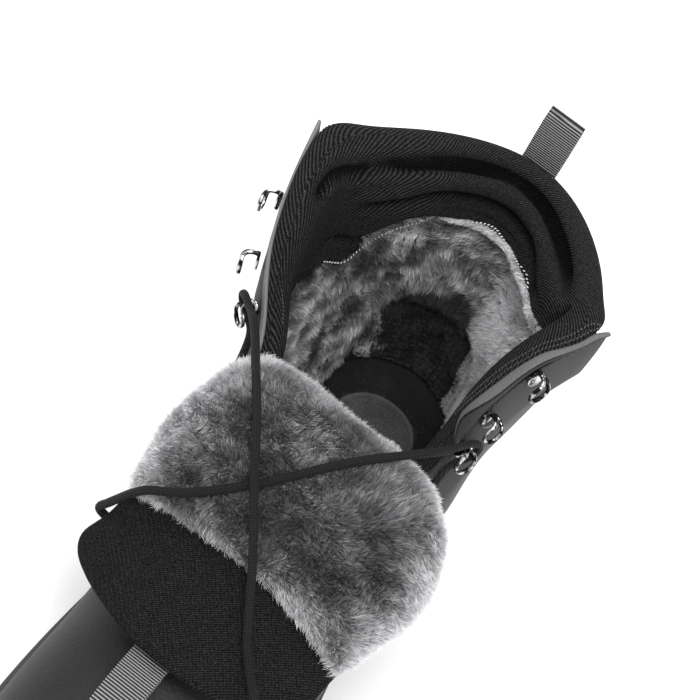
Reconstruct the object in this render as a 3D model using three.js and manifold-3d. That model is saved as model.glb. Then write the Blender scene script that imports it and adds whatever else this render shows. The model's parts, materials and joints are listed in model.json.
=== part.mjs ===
// A left snow boot with its collar spread open and its fleece-lined tongue folded forward over the vamp.
// Millimetres, +Z up. The toe points along -Y, the wearer's left side is +X.
// The origin is on the floor, under the middle of the heel.
import * as THREE from "three";
import { mergeVertices } from "three/addons/utils/BufferGeometryUtils.js";
import Module from "manifold-3d";

const wasm = await Module();
wasm.setup();

// Driving sizes of the last and the boot
const bootLength = 298;
const ballWidth = 100;
const collarHeight = 172;
const heelSetback = 40; // from the back of the heel to the origin

// Walls and clearances
const upperWall = 2.6;
const overlayWall = 1.4;
const clearance = 0.3;
const insoleThickness = 5;

// Sole
const heelStack = 30;
const toeSpring = 10;
const lugDepth = 5;
const treadBase = 4.5;
const welt = 3.2; // how far the sole stands out from the upper
const lipWall = 2.4;

// Padded collar and fleece
const collarPad = 18;
const collarRise = 12.5;
const flapPad = 5;
const pile = 6;
const liningGap = 1.1; // the linings are stitched in loosely
const edgeGap = 0.8; // over the cut edges

// Tongue
const tongueThickness = 8;

// Cords, webbing and hardware
const laceDiameter = 3.2;
const webbingWidth = 14.5;
const webbingThickness = 1.6;
const heelLoopHeight = 19; // above the collar
const tongueLoopLength = 24;
const hookWire = 0.95;
const hookReach = 6.2;
const hookPlate = 4.2;
const seatGap = 0.63; // under the plates, for the curve of the leather

const right = 1;
const left = -1;

// Sections of the upper, a row for each profile from the toe tip (at 0) round to the heel (at 1).
// foot: where the profile leaves the sole, share of the length; outRight, outLeft and swing: half widths
// there and drift of the centre line, shares of the ball width; lowOut and lowUp: first pull of the
// profile, shares of the ball width and collar height; reach: share of the way back out at the top;
// drop: second pull below the top line, share of the collar height; tuckRight and tuckLeft: how far
// that pull lies inward, shares of the ball width.
const sections = [
  { at: 0, foot: 0.977, outRight: 0, outLeft: 0, swing: -0.03, lowOut: 0.03, lowUp: 0.15, reach: 0.8, drop: 0, tuckRight: 0, tuckLeft: 0 },
  { at: 0.06, foot: 0.96, outRight: 0.185, outLeft: 0.195, swing: -0.022, lowOut: 0.03, lowUp: 0.15, reach: 0.78, drop: 0, tuckRight: 0, tuckLeft: 0 },
  { at: 0.133, foot: 0.905, outRight: 0.33, outLeft: 0.345, swing: 0, lowOut: 0.03, lowUp: 0.15, reach: 0.74, drop: 0, tuckRight: 0, tuckLeft: 0 },
  { at: 0.217, foot: 0.82, outRight: 0.43, outLeft: 0.4, swing: 0.025, lowOut: 0.055, lowUp: 0.155, reach: 0.7, drop: 0, tuckRight: 0, tuckLeft: 0 },
  { at: 0.314, foot: 0.715, outRight: 0.48, outLeft: 0.425, swing: 0.04, lowOut: 0.06, lowUp: 0.18, reach: 0.66, drop: 0.01, tuckRight: 0, tuckLeft: 0 },
  { at: 0.414, foot: 0.605, outRight: 0.475, outLeft: 0.41, swing: 0.04, lowOut: 0.075, lowUp: 0.23, reach: 0.45, drop: 0.08, tuckRight: -0.05, tuckLeft: -0.05 },
  { at: 0.513, foot: 0.497, outRight: 0.43, outLeft: 0.37, swing: 0.03, lowOut: 0.09, lowUp: 0.27, reach: 0.2, drop: 0.14, tuckRight: -0.13, tuckLeft: -0.1 },
  { at: 0.61, foot: 0.39, outRight: 0.375, outLeft: 0.33, swing: 0.01, lowOut: 0.14, lowUp: 0.3, reach: 0.05, drop: 0.18, tuckRight: -0.19, tuckLeft: -0.1 },
  { at: 0.7, foot: 0.29, outRight: 0.34, outLeft: 0.31, swing: 0, lowOut: 0.15, lowUp: 0.31, reach: 0, drop: 0.21, tuckRight: -0.19, tuckLeft: -0.05 },
  { at: 0.785, foot: 0.195, outRight: 0.33, outLeft: 0.31, swing: 0, lowOut: 0.11, lowUp: 0.3, reach: 0.05, drop: 0.25, tuckRight: -0.06, tuckLeft: 0.04 },
  { at: 0.864, foot: 0.107, outRight: 0.31, outLeft: 0.3, swing: 0, lowOut: 0.07, lowUp: 0.28, reach: 0.1, drop: 0.24, tuckRight: 0.08, tuckLeft: 0.1 },
  { at: 0.93, foot: 0.044, outRight: 0.22, outLeft: 0.21, swing: 0, lowOut: 0.07, lowUp: 0.26, reach: 0.05, drop: 0.23, tuckRight: 0.12, tuckLeft: 0.12 },
  { at: 1, foot: 0.017, outRight: 0, outLeft: 0, swing: 0, lowOut: 0.08, lowUp: 0.25, reach: 0, drop: 0.23, tuckRight: 0.13, tuckLeft: 0.13 },
];

// The top line in three stretches: the ridge of the vamp, the edges of the throat, and the collar.
// along: share of the length; up: share of the collar height; right and left: shares of the ball width.
const throatStart = 0.36;
const collarCorner = 0.8;
const ridgeLine = [
  { at: 0, along: 0.885, up: 0.385, right: -0.015, left: 0.015 },
  { at: 0.06, along: 0.874, up: 0.39, right: -0.01, left: 0.01 },
  { at: 0.133, along: 0.838, up: 0.403, right: 0.005, left: -0.005 },
  { at: 0.217, along: 0.772, up: 0.43, right: 0.022, left: -0.022 },
  { at: 0.3, along: 0.69, up: 0.47, right: 0.034, left: -0.034 },
  { at: throatStart, along: 0.644, up: 0.495, right: 0.036, left: -0.036 },
];
const throatLine = [
  { at: throatStart, along: 0.644, up: 0.495, right: 0.036, left: -0.036 },
  { at: 0.4, along: 0.615, up: 0.51, right: 0.175, left: 0.105 },
  { at: 0.46, along: 0.564, up: 0.544, right: 0.25, left: 0.19 },
  { at: 0.53, along: 0.497, up: 0.59, right: 0.3, left: 0.26 },
  { at: 0.6, along: 0.43, up: 0.64, right: 0.33, left: 0.32 },
  { at: 0.66, along: 0.37, up: 0.688, right: 0.34, left: 0.375 },
  { at: 0.7, along: 0.332, up: 0.73, right: 0.35, left: 0.43 },
  { at: 0.735, along: 0.305, up: 0.8, right: 0.36, left: 0.54 },
  { at: 0.77, along: 0.25, up: 0.91, right: 0.405, left: 0.635 },
  { at: collarCorner, along: 0.165, up: 1, right: 0.55, left: 0.7 },
];
const collarLine = [
  { at: collarCorner, along: 0.165, up: 1, right: 0.55, left: 0.7 },
  { at: 0.84, along: 0.138, up: 0.968, right: 0.495, left: 0.6 },
  { at: 0.88, along: 0.098, up: 0.95, right: 0.41, left: 0.47 },
  { at: 0.92, along: 0.06, up: 0.94, right: 0.285, left: 0.31 },
  { at: 0.96, along: 0.028, up: 0.935, right: 0.14, left: 0.14 },
  { at: 1, along: 0.015, up: 0.93, right: 0, left: 0 },
];

// The sole from the side. at: share of the length from the heel; ground: height of the tread over the
// floor, share of the toe spring; seat: height of the upper's seat, share of the heel stack.
const soleLine = [
  { at: 0, ground: 0.25, seat: 1 },
  { at: 0.05, ground: 0, seat: 1 },
  { at: 0.24, ground: 0, seat: 0.97 },
  { at: 0.33, ground: 0.5, seat: 0.92 },
  { at: 0.42, ground: 0, seat: 0.86 },
  { at: 0.6, ground: 0, seat: 0.78 },
  { at: 0.77, ground: 0, seat: 0.76 },
  { at: 0.89, ground: 0.32, seat: 0.84 },
  { at: 1, ground: 1, seat: 1.06 },
];

// The middle of the tongue from its root, back up the throat, round the fold and forward to its tip.
// along and up: shares of the length and the collar height; half: half width; shift: how far it lies
// to the right; droop: how far the edges hang below the middle; sweepRight and sweepLeft: how far
// forward each edge lies. The last five are shares of the ball width.
const tongueLine = [
  { at: 0, along: 0.617, up: 0.455, half: 0.08, shift: 0, droop: 0.01, sweepRight: 0, sweepLeft: 0 },
  { at: 0.1, along: 0.555, up: 0.5, half: 0.14, shift: 0, droop: 0.015, sweepRight: 0, sweepLeft: 0 },
  { at: 0.22, along: 0.48, up: 0.56, half: 0.19, shift: 0, droop: 0.02, sweepRight: 0, sweepLeft: 0 },
  { at: 0.34, along: 0.442, up: 0.605, half: 0.225, shift: 0, droop: 0.02, sweepRight: 0.01, sweepLeft: 0.01 },
  { at: 0.4, along: 0.42, up: 0.65, half: 0.25, shift: 0.01, droop: 0.01, sweepRight: 0.02, sweepLeft: 0.02 },
  { at: 0.44, along: 0.415, up: 0.7, half: 0.31, shift: 0.02, droop: 0, sweepRight: 0.03, sweepLeft: 0.04 },
  { at: 0.48, along: 0.428, up: 0.745, half: 0.4, shift: 0.045, droop: 0, sweepRight: 0.02, sweepLeft: -0.03 },
  { at: 0.53, along: 0.456, up: 0.75, half: 0.48, shift: 0.075, droop: 0.02, sweepRight: 0.02, sweepLeft: -0.02 },
  { at: 0.62, along: 0.502, up: 0.715, half: 0.54, shift: 0.085, droop: 0.05, sweepRight: 0.05, sweepLeft: 0.05 },
  { at: 0.74, along: 0.565, up: 0.667, half: 0.49, shift: 0.055, droop: 0.08, sweepRight: 0.09, sweepLeft: 0 },
  { at: 0.86, along: 0.635, up: 0.613, half: 0.475, shift: 0.045, droop: 0.09, sweepRight: 0.07, sweepLeft: -0.04 },
  { at: 0.94, along: 0.692, up: 0.582, half: 0.505, shift: 0.03, droop: 0.085, sweepRight: -0.02, sweepLeft: -0.12 },
  { at: 1, along: 0.741, up: 0.558, half: 0.46, shift: 0.02, droop: 0.08, sweepRight: -0.12, sweepLeft: -0.2 },
];
const fleeceFrom = 0.36; // the fleece on the tongue, from below the fold to the knitted tip band
const fleeceTo = 0.82;
const pileEnd = 0.06; // how far past its end the pile still holds a cord up

// Places along the throat
const ringStations = [0.42, 0.5, 0.585];
const hookStations = [0.719, 0.747, 0.775];
const ringInset = 0.055; // shares of a profile's length below the edge
const hookInset = { right: 0.034, left: 0.085 };
const eyestayFrom = 0.8; // share of a profile where the eyestay's lower edge lies
const backstayAt = 0.945;

// Value of one column of a table at a place, on a curve through its rows that never overshoots them.
// Past an end that is mirrored, a row inside it is repeated: odd columns change sign there.
function read(rows, column, place, mirror = "") {
  const knots = rows.map((row) => row.at);
  const values = rows.map((row) => row[column]);
  if (mirror) {
    const last = rows.length - 1;
    const reflect = (edge, inside) => (mirror === "odd" ? 2 * edge - inside : inside);
    const before = reflect(values[0], values[1]);
    const after = reflect(values[last], values[last - 1]);
    const reach = 2 * knots[last] - knots[last - 1];
    knots.unshift(2 * knots[0] - knots[1]);
    values.unshift(before);
    knots.push(reach);
    values.push(after);
  }
  const x = THREE.MathUtils.clamp(place, rows[0].at, rows[rows.length - 1].at);
  let k = knots.findIndex((knot, n) => n < knots.length - 1 && x <= knots[n + 1]);
  k = Math.max(k, 0);
  const slope = (n) => (values[n + 1] - values[n]) / (knots[n + 1] - knots[n]);
  const tangent = (n) => {
    if (n === 0) return slope(0);
    if (n === knots.length - 1) return slope(n - 1);
    const [before, after] = [slope(n - 1), slope(n)];
    if (before * after <= 0) return 0;
    const [near, far] = [knots[n] - knots[n - 1], knots[n + 1] - knots[n]];
    return (3 * (near + far)) / ((2 * far + near) / before + (far + 2 * near) / after);
  };
  const span = knots[k + 1] - knots[k];
  const t = (x - knots[k]) / span;
  const [t2, t3] = [t * t, t * t * t];
  return (
    (2 * t3 - 3 * t2 + 1) * values[k] +
    (t3 - 2 * t2 + t) * span * tangent(k) +
    (3 * t2 - 2 * t3) * values[k + 1] +
    (t3 - t2) * span * tangent(k + 1)
  );
}

// Distance from the back of the heel to a place along Y.
const alongToY = (along) => heelSetback - along;
const ground = (along) => toeSpring * read(soleLine, "ground", along / bootLength);
const seat = (along) => heelStack * read(soleLine, "seat", along / bootLength);
const parting = (along) => ground(along) + lugDepth + treadBase;

// The line where the upper meets the sole.
function featherPoint(at, side) {
  const along = read(sections, "foot", at, "even") * bootLength;
  const out = read(sections, side > 0 ? "outRight" : "outLeft", at, "odd") * ballWidth;
  const centre = read(sections, "swing", at, "even") * ballWidth;
  return new THREE.Vector3(centre + side * out, alongToY(along), seat(along) + clearance);
}

// Level outward direction of the feather line.
function featherNormal(at, side) {
  const step = 0.002;
  const [from, to] = [Math.max(at - step, 0), Math.min(at + step, 1)];
  const run = featherPoint(to, side).sub(featherPoint(from, side));
  if (at < step) return new THREE.Vector3(0, -1, 0);
  if (at > 1 - step) return new THREE.Vector3(0, 1, 0);
  return new THREE.Vector3(side * run.y, -side * run.x, 0).normalize();
}

function topPoint(at, side) {
  const line = at <= throatStart ? ridgeLine : at <= collarCorner ? throatLine : collarLine;
  const out = read(line, side > 0 ? "right" : "left", at) * ballWidth;
  const along = read(line, "along", at) * bootLength;
  return new THREE.Vector3(side * out, alongToY(along), read(line, "up", at) * collarHeight);
}

// The outer surface of the upper: each profile is a curve with two pulls between sole and top line.
function upperPoint(at, side, v) {
  const foot = featherPoint(at, side);
  const top = topPoint(at, side);
  const out = featherNormal(at, side);
  const column = (name, mirror = "even") => read(sections, name, at, mirror);
  const low = foot.clone().addScaledVector(out, column("lowOut") * ballWidth);
  low.z += column("lowUp") * collarHeight;
  const tuck = column(side > 0 ? "tuckRight" : "tuckLeft") * ballWidth;
  const reach = column("reach");
  const high = top.clone().addScaledVector(out, -tuck);
  high.x += reach * (foot.x - top.x);
  high.y += reach * (foot.y - top.y);
  high.z -= column("drop") * collarHeight;
  return new THREE.CubicBezierCurve3(foot, low, high, top).getPoint(v);
}

function sideNormal(at, side, v) {
  const step = 0.003;
  const [a0, a1] = [Math.max(at - step, 0), Math.min(at + step, 1)];
  const [v0, v1] = [Math.max(v - step, 0), Math.min(v + step, 1)];
  const run = upperPoint(a1, side, v).sub(upperPoint(a0, side, v));
  const climb = upperPoint(at, side, v1).sub(upperPoint(at, side, v0));
  return run.cross(climb).multiplyScalar(side).normalize();
}

// Both sides share one direction where they meet: at the toe, at the heel and along the ridge.
function upperNormal(at, side, v) {
  const shared = at === 0 || at === 1 || (v === 1 && at <= throatStart);
  const normal = sideNormal(at, side, v);
  return shared ? normal.add(sideNormal(at, -side, v)).normalize() : normal;
}

// A point at a depth under the outer surface: a negative depth lies outside it.
function under(at, side, v, depth) {
  return upperPoint(at, side, v).addScaledVector(upperNormal(at, side, v), -depth);
}

// Stations shared by everything that is laid on the upper, so that facets lie parallel.
function stations(marks, most) {
  const list = [marks[0]];
  marks.slice(1).forEach((mark, n) => {
    const count = Math.max(1, Math.round((mark - marks[n]) / most));
    for (let k = 1; k <= count; k++) list.push(marks[n] + ((mark - marks[n]) * k) / count);
  });
  return list;
}
const stationMarks = [0, 0.1, throatStart, 0.39, ...ringStations, 0.65, ...hookStations, collarCorner, backstayAt, 1];
const profiles = stations(stationMarks, 0.042);
const lipLevel = 0.06;
const levels = stations([0, lipLevel, 0.5, eyestayFrom, 0.9, 0.96, 1], 0.15);

// Columns once round the boot: up the right side from toe to heel, and back down the left.
const around = [
  ...profiles.map((at) => ({ at, side: right })),
  ...profiles.slice(1, -1).reverse().map((at) => ({ at, side: left })),
];

// A solid from loose triangles that close on each other.
function solid(triangles) {
  const positions = new Float32Array(triangles.length * 9);
  triangles.forEach((triangle, n) => triangle.forEach((p, k) => p.toArray(positions, n * 9 + k * 3)));
  const geometry = new THREE.BufferGeometry();
  geometry.setAttribute("position", new THREE.BufferAttribute(positions, 3));
  return manifold(geometry);
}

function manifold(geometry) {
  const bare = geometry.index ? geometry.toNonIndexed() : geometry.clone();
  for (const name of ["normal", "uv"]) bare.deleteAttribute(name);
  const merged = mergeVertices(bare, 1e-4);
  const corners = merged.index.array;
  const kept = [];
  for (let n = 0; n < corners.length; n += 3) {
    const [a, b, c] = [corners[n], corners[n + 1], corners[n + 2]];
    if (a !== b && b !== c && c !== a) kept.push(a, b, c);
  }
  return new wasm.Manifold(
    new wasm.Mesh({
      numProp: 3,
      vertProperties: merged.attributes.position.array,
      triVerts: new Uint32Array(kept),
    }),
  );
}

const quad = (a, b, c, d) => [[a, b, c], [a, c, d]];

// A wall between an outer and an inner sheet of points, both read as sheet[column][row].
// weld(column) is true where the top edges of two columns already meet and need no rim.
function wallSolid(outer, inner, closed, weld = () => false) {
  const triangles = [];
  const rows = outer[0].length;
  const spans = closed ? outer.length : outer.length - 1;
  for (let i = 0; i < spans; i++) {
    const n = (i + 1) % outer.length;
    for (let j = 0; j < rows - 1; j++) {
      triangles.push(...quad(outer[i][j], outer[n][j], outer[n][j + 1], outer[i][j + 1]));
      triangles.push(...quad(inner[i][j], inner[i][j + 1], inner[n][j + 1], inner[n][j]));
    }
    triangles.push(...quad(outer[n][0], outer[i][0], inner[i][0], inner[n][0]));
    const last = rows - 1;
    if (!weld(i)) triangles.push(...quad(outer[i][last], outer[n][last], inner[n][last], inner[i][last]));
  }
  if (!closed) {
    const end = outer.length - 1;
    for (let j = 0; j < rows - 1; j++) {
      triangles.push(...quad(outer[0][j], outer[0][j + 1], inner[0][j + 1], inner[0][j]));
      triangles.push(...quad(outer[end][j + 1], outer[end][j], inner[end][j], inner[end][j + 1]));
    }
  }
  return solid(triangles);
}

// A wall laid on the upper between two depths. depth is a number or a function of station, side and level.
function laidWall(columns, rows, outside, inside, closed = false, weld) {
  const depth = (value, at, side, v) => (typeof value === "function" ? value(at, side, v) : value);
  const sheet = (value) =>
    columns.map(({ at, side }) => rows.map((v) => under(at, side, v, depth(value, at, side, v))));
  return wallSolid(sheet(outside), sheet(inside), closed, weld);
}

// A stack of closed loops with both ends filled across from side to side. Every loop is read round the
// boot as the columns are: point k and point length - k face each other.
function stackedSolid(loops) {
  const triangles = [];
  const count = loops[0].length;
  for (let k = 0; k < loops.length - 1; k++) {
    for (let i = 0; i < count; i++) {
      const n = (i + 1) % count;
      triangles.push(...quad(loops[k][i], loops[k][n], loops[k + 1][n], loops[k + 1][i]));
    }
  }
  const fill = (loop, up) => {
    for (let i = 0; i < count / 2; i++) {
      const [a, b, c, d] = [loop[i], loop[i + 1], loop[(count - i - 1) % count], loop[(count - i) % count]];
      triangles.push(...(up ? quad(a, b, c, d) : quad(d, c, b, a)));
    }
  };
  fill(loops[0], false);
  fill(loops[loops.length - 1], true);
  return solid(triangles);
}

const smoothStep = (low, high, x) => THREE.MathUtils.smoothstep(x, low, high);

// A repeatable uneven number from 0 to 1 for a pair of counts.
function uneven(i, j) {
  const wave = Math.sin(i * 12.9898 + j * 78.233) * 43758.5453;
  return wave - Math.floor(wave);
}

// The upper: one wall, open at the collar and throat and underneath.
function upper() {
  const meets = (i) => {
    const next = around[(i + 1) % around.length];
    return Math.max(around[i].at, next.at) <= throatStart + 1e-9;
  };
  return laidWall(around, levels, 0, upperWall, true, meets);
}

// The eyestay on one side: a second layer along the throat, from its front end to the collar corner.
function eyestay(side) {
  const list = profiles.filter((at) => at > 0.385 && at <= collarCorner + 1e-9);
  const columns = (side > 0 ? list : list.reverse()).map((at) => ({ at, side }));
  const rows = levels.filter((v) => v >= eyestayFrom - 1e-9);
  return laidWall(columns, rows, -clearance - overlayWall, -clearance);
}

// The backstay: a strip up the back of the heel.
function backstay() {
  const rows = levels.filter((v) => v > lipLevel && v < 0.95);
  return laidWall(liningColumns(backstayAt), rows, -clearance - overlayWall, -clearance);
}

// The knitted collar and the lining of the flaps: one section carried along the top edge. Each row is
// a corner of it, first over a padded part of the edge, then over a thin flap. inward and flatIn:
// depth behind the outer face of the upper, shares of the pad or the flap; up and flatUp: height over
// the edge, shares of the collar's rise or the lined depth. Two grooves part the pad into three rolls.
const collarSection = [
  { inward: -0.06, up: 0.03, flatIn: 0, flatUp: 0 },
  { inward: -0.22, up: 0.35, flatIn: -0.05, flatUp: 0.02 },
  { inward: -0.12, up: 0.78, flatIn: 0.05, flatUp: 0.05 },
  { inward: 0.14, up: 1, flatIn: 0.3, flatUp: 0.06 },
  { inward: 0.4, up: 0.93, flatIn: 0.6, flatUp: 0.04 },
  { inward: 0.56, up: 0.68, flatIn: 0.85, flatUp: -0.03 },
  { inward: 0.5, up: 0.4, flatIn: 1, flatUp: -0.12 },
  { inward: 0.78, up: 0.3, flatIn: 1.05, flatUp: -0.2 },
  { inward: 0.98, up: -0.1, flatIn: 1.05, flatUp: -0.35 },
  { inward: 0.97, up: -0.55, flatIn: 1.05, flatUp: -0.5 },
  { inward: 0.78, up: -0.75, flatIn: 1, flatUp: -0.68 },
  { inward: 0.96, up: -0.92, flatIn: 0.95, flatUp: -0.8 },
  { inward: 0.94, up: -1.22, flatIn: 0.85, flatUp: -1 },
];
// A row for each station from the low end of the throat. right and left: lined depth, share of the
// collar height; thick: how much the flap's lining swells; roll: share of the padded section in it.
const liningStart = 0.585;
const liningLine = [
  { at: liningStart, right: 0.05, left: 0.05, thick: 0, roll: 0 },
  { at: 0.66, right: 0.08, left: 0.1, thick: 0.1, roll: 0 },
  { at: 0.7, right: 0.09, left: 0.16, thick: 0.2, roll: 0 },
  { at: 0.77, right: 0.13, left: 0.25, thick: 0.7, roll: 0.02 },
  { at: collarCorner, right: 0.17, left: 0.3, thick: 1, roll: 0.04 },
  { at: 0.84, right: 0.17, left: 0.33, thick: 1.3, roll: 0.2 },
  { at: 0.88, right: 0.14, left: 0.27, thick: 1.3, roll: 0.65 },
  { at: 0.93, right: 0.1, left: 0.12, thick: 1.2, roll: 1 },
  { at: 1, right: 0.1, left: 0.1, thick: 1.2, roll: 1 },
];

const liningColumns = (from) => {
  const list = profiles.filter((at) => at >= from - 1e-9);
  return [
    ...list.map((at) => ({ at, side: right })),
    ...list.slice(0, -1).reverse().map((at) => ({ at, side: left })),
  ];
};
const profileHeight = (at, side) => topPoint(at, side).distanceTo(featherPoint(at, side));
const lined = (at, side) => read(liningLine, side > 0 ? "right" : "left", at) * collarHeight;
const liningRoll = (at) => read(liningLine, "roll", at);

// Height of a corner of the collar over the edge of the upper.
function collarLift(row, at, side) {
  const lift = THREE.MathUtils.lerp(row.flatUp * lined(at, side), row.up * collarRise, liningRoll(at));
  return row.flatUp >= 0 ? Math.max(lift, edgeGap) : lift;
}

function collar() {
  const behind = upperWall + liningGap;
  const last = collarSection[collarSection.length - 1];
  const sectionAt = ({ at, side }) => {
    const edge = topPoint(at, side);
    const normal = upperNormal(at, side, 1);
    const upward = edge.clone().sub(upperPoint(at, side, 0.96)).normalize();
    const height = profileHeight(at, side);
    const flap = behind + flapPad * (1 + read(liningLine, "thick", at));
    const place = (inward, lift) =>
      lift > 0
        ? edge.clone().addScaledVector(normal, -inward).addScaledVector(upward, lift)
        : under(at, side, 1 + lift / height, inward);
    const front = collarSection.map((row) => {
      const inward = THREE.MathUtils.lerp(row.flatIn * flap, row.inward * collarPad, liningRoll(at));
      return place(inward, collarLift(row, at, side));
    });
    const foot = collarLift(last, at, side);
    const back = [1, 0.66, 0.33].map((share) => place(behind, foot * share));
    return [...front, ...back, place(behind, edgeGap)];
  };
  return sweptSolid(liningColumns(liningStart).map(sectionAt));
}

// A solid through closed sections of equal count, with both end sections filled as fans.
function sweptSolid(rings) {
  const triangles = [];
  const count = rings[0].length;
  for (let i = 0; i < rings.length - 1; i++) {
    for (let k = 0; k < count; k++) {
      const n = (k + 1) % count;
      triangles.push(...quad(rings[i][k], rings[i][n], rings[i + 1][n], rings[i + 1][k]));
    }
  }
  const cap = (ring, flip) => {
    const middle = ring.reduce((sum, p) => sum.add(p), new THREE.Vector3()).divideScalar(count);
    ring.forEach((p, k) => {
      const next = ring[(k + 1) % count];
      triangles.push(flip ? [middle, next, p] : [middle, p, next]);
    });
  };
  cap(rings[0], true);
  cap(rings[rings.length - 1], false);
  const made = solid(triangles);
  return made.volume() < 0 ? solid(triangles.map(([a, b, c]) => [a, c, b])) : made;
}

// The outer face and inner edge loops of the sole, a margin out from the feather line.
const soleLoop = (margin, height) =>
  around.map(({ at, side }) => {
    const p = featherPoint(at, side).addScaledVector(featherNormal(at, side), margin);
    p.z = height(alongToY(p.y));
    return p;
  });

// The side of the midsole: up: share of its height, out: margin in shares of the welt.
const midsoleSide = [
  { up: 0, out: 1.25 },
  { up: 0.2, out: 1.5 },
  { up: 0.44, out: 1.45 },
  { up: 0.52, out: 0.95 },
  { up: 0.62, out: 0.95 },
  { up: 0.7, out: 1.2 },
  { up: 1, out: 1.05 },
];

// The midsole: a stepped wedge with a lip that holds the upper.
function midsole() {
  const bottom = (along) => parting(along) + clearance;
  const loops = midsoleSide.map(({ up, out }) =>
    soleLoop(welt * out, (along) => THREE.MathUtils.lerp(bottom(along), seat(along), up)),
  );
  const lip = (depth) => around.map(({ at, side }) => under(at, side, lipLevel, depth));
  const foot = around.map(({ at, side }) => {
    const p = under(at, side, 0, -clearance);
    p.z = featherPoint(at, side).z - clearance;
    return p;
  });
  return stackedSolid([...loops, lip(-clearance - lipWall), lip(-clearance), foot]);
}

// A plan outline extruded between two heights.
function prism(outline, low, high) {
  const shape = new THREE.Shape(outline.map((p) => new THREE.Vector2(p.x, p.y)));
  const geometry = new THREE.ExtrudeGeometry(shape, { depth: high - low, bevelEnabled: false });
  return manifold(geometry.translate(0, 0, low));
}

// Lug rows: from and to: stations round the edge, inset: how far the lug reaches inward, share of
// the ball width.
const edgeLugStep = 0.05;
const edgeLugs = { from: 0.02, to: 0.99, share: 0.62, inset: 0.15 };
const waistStations = [0.565, 0.665]; // no edge lugs under the arch

function outsole() {
  const base = stackedSolid([
    soleLoop(welt * 1.0, (along) => ground(along) + lugDepth),
    soleLoop(welt * 1.55, (along) => ground(along) + lugDepth + treadBase * 0.35),
    soleLoop(welt * 1.55, (along) => parting(along) - treadBase * 0.15),
    soleLoop(welt * 1.3, parting),
  ]);
  const parts = [base];
  const overlap = 1;
  const addLug = (outline) => {
    const middle = outline.reduce((sum, p) => sum + p.y, 0) / outline.length;
    const foot = ground(alongToY(middle));
    parts.push(prism(outline, foot, foot + lugDepth + overlap));
  };
  const edge = (at, side, inward) =>
    featherPoint(at, side).addScaledVector(featherNormal(at, side), welt * 1.1 - inward);
  for (const side of [right, left]) {
    for (let at = edgeLugs.from; at < edgeLugs.to; at += edgeLugStep) {
      const end = Math.min(at + edgeLugStep * edgeLugs.share, 0.995);
      const waist = end > waistStations[0] && at < waistStations[1];
      const inset = edgeLugs.inset * ballWidth * (0.85 + 0.3 * (Math.round(at / edgeLugStep) % 2));
      const outline = [edge(at, side, 0), edge(end, side, 0), edge(end, side, inset), edge(at, side, inset)];
      if (!waist) addLug(side > 0 ? outline : outline.reverse());
    }
  }
  // Blocks down the middle: chevrons under the forefoot and bars under the heel.
  const centreAt = (along) => {
    const at = 1 - along / bootLength;
    return read(sections, "swing", THREE.MathUtils.clamp(at, 0, 1), "even") * ballWidth;
  };
  const bar = (along, half, length, sweep) => {
    const x = centreAt(along);
    const y = alongToY(along);
    const corner = (dx, dy) => new THREE.Vector3(x + dx, y + dy, 0);
    addLug([
      corner(-half, sweep - length / 2),
      corner(0, -sweep - length / 2),
      corner(half, sweep - length / 2),
      corner(half, sweep + length / 2),
      corner(0, -sweep + length / 2),
      corner(-half, sweep + length / 2),
    ]);
  };
  const pitch = 0.062 * bootLength;
  const chevron = { half: 0.17 * ballWidth, length: 0.036 * bootLength, sweep: 0.03 * ballWidth };
  for (let along = 0.45 * bootLength; along < 0.85 * bootLength; along += pitch)
    bar(along, chevron.half, chevron.length, chevron.sweep);
  for (const step of [-1, 0, 1])
    bar(heelSetback + step * pitch, 0.12 * ballWidth, chevron.length, 0.001);
  return wasm.Manifold.union(parts);
}

// The insole lies on the sole inside the upper, with a shallow cup at its edge.
function insole() {
  const inset = -(upperWall + 2 * clearance + 0.4);
  const low = (along) => seat(along) + clearance;
  const high = (along) => low(along) + insoleThickness;
  const cup = 1.5;
  return stackedSolid([
    soleLoop(inset, low),
    soleLoop(inset, (along) => high(along) + cup),
    soleLoop(inset - 4, (along) => high(along) + cup * 0.6),
    soleLoop(inset - 9, high),
  ]);
}

// The fleece inside the shaft, from the knitted lining down to the insole, its pile uneven.
const fleeceFront = 0.5;
const fleeceLow = 0.1;
const heelPatch = { from: 0.88, high: 0.42, low: 0.07, thickness: 2.4 };

function fleeceLining() {
  const columns = liningColumns(fleeceFront);
  const steps = 8;
  const behind = upperWall + liningGap;
  const last = collarSection[collarSection.length - 1];
  const topOf = (at, side) => {
    const foot = collarLift(last, Math.max(at, liningStart), side) - 1.5 * liningGap;
    return 1 + foot / profileHeight(at, side);
  };
  const lowOf = (at) => (at >= heelPatch.from ? heelPatch.high + 0.01 : fleeceLow);
  const sheet = (depth) =>
    columns.map(({ at, side }, i) =>
      Array.from({ length: steps + 1 }, (_, j) => {
        const v = THREE.MathUtils.lerp(lowOf(at), topOf(at, side), j / steps);
        return under(at, side, v, depth(i, j));
      }),
    );
  const tuft = (i, j) => behind + pile * (j === 0 || j === steps ? 0.75 : 0.8 + 0.4 * uneven(i, j));
  return wallSolid(sheet(() => behind), sheet(tuft), false);
}

// The smooth heel grip below the fleece.
function heelLining() {
  const rows = stations([heelPatch.low, heelPatch.high], 0.07);
  const behind = upperWall + liningGap;
  return laidWall(liningColumns(heelPatch.from), rows, behind, behind + heelPatch.thickness);
}

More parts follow.
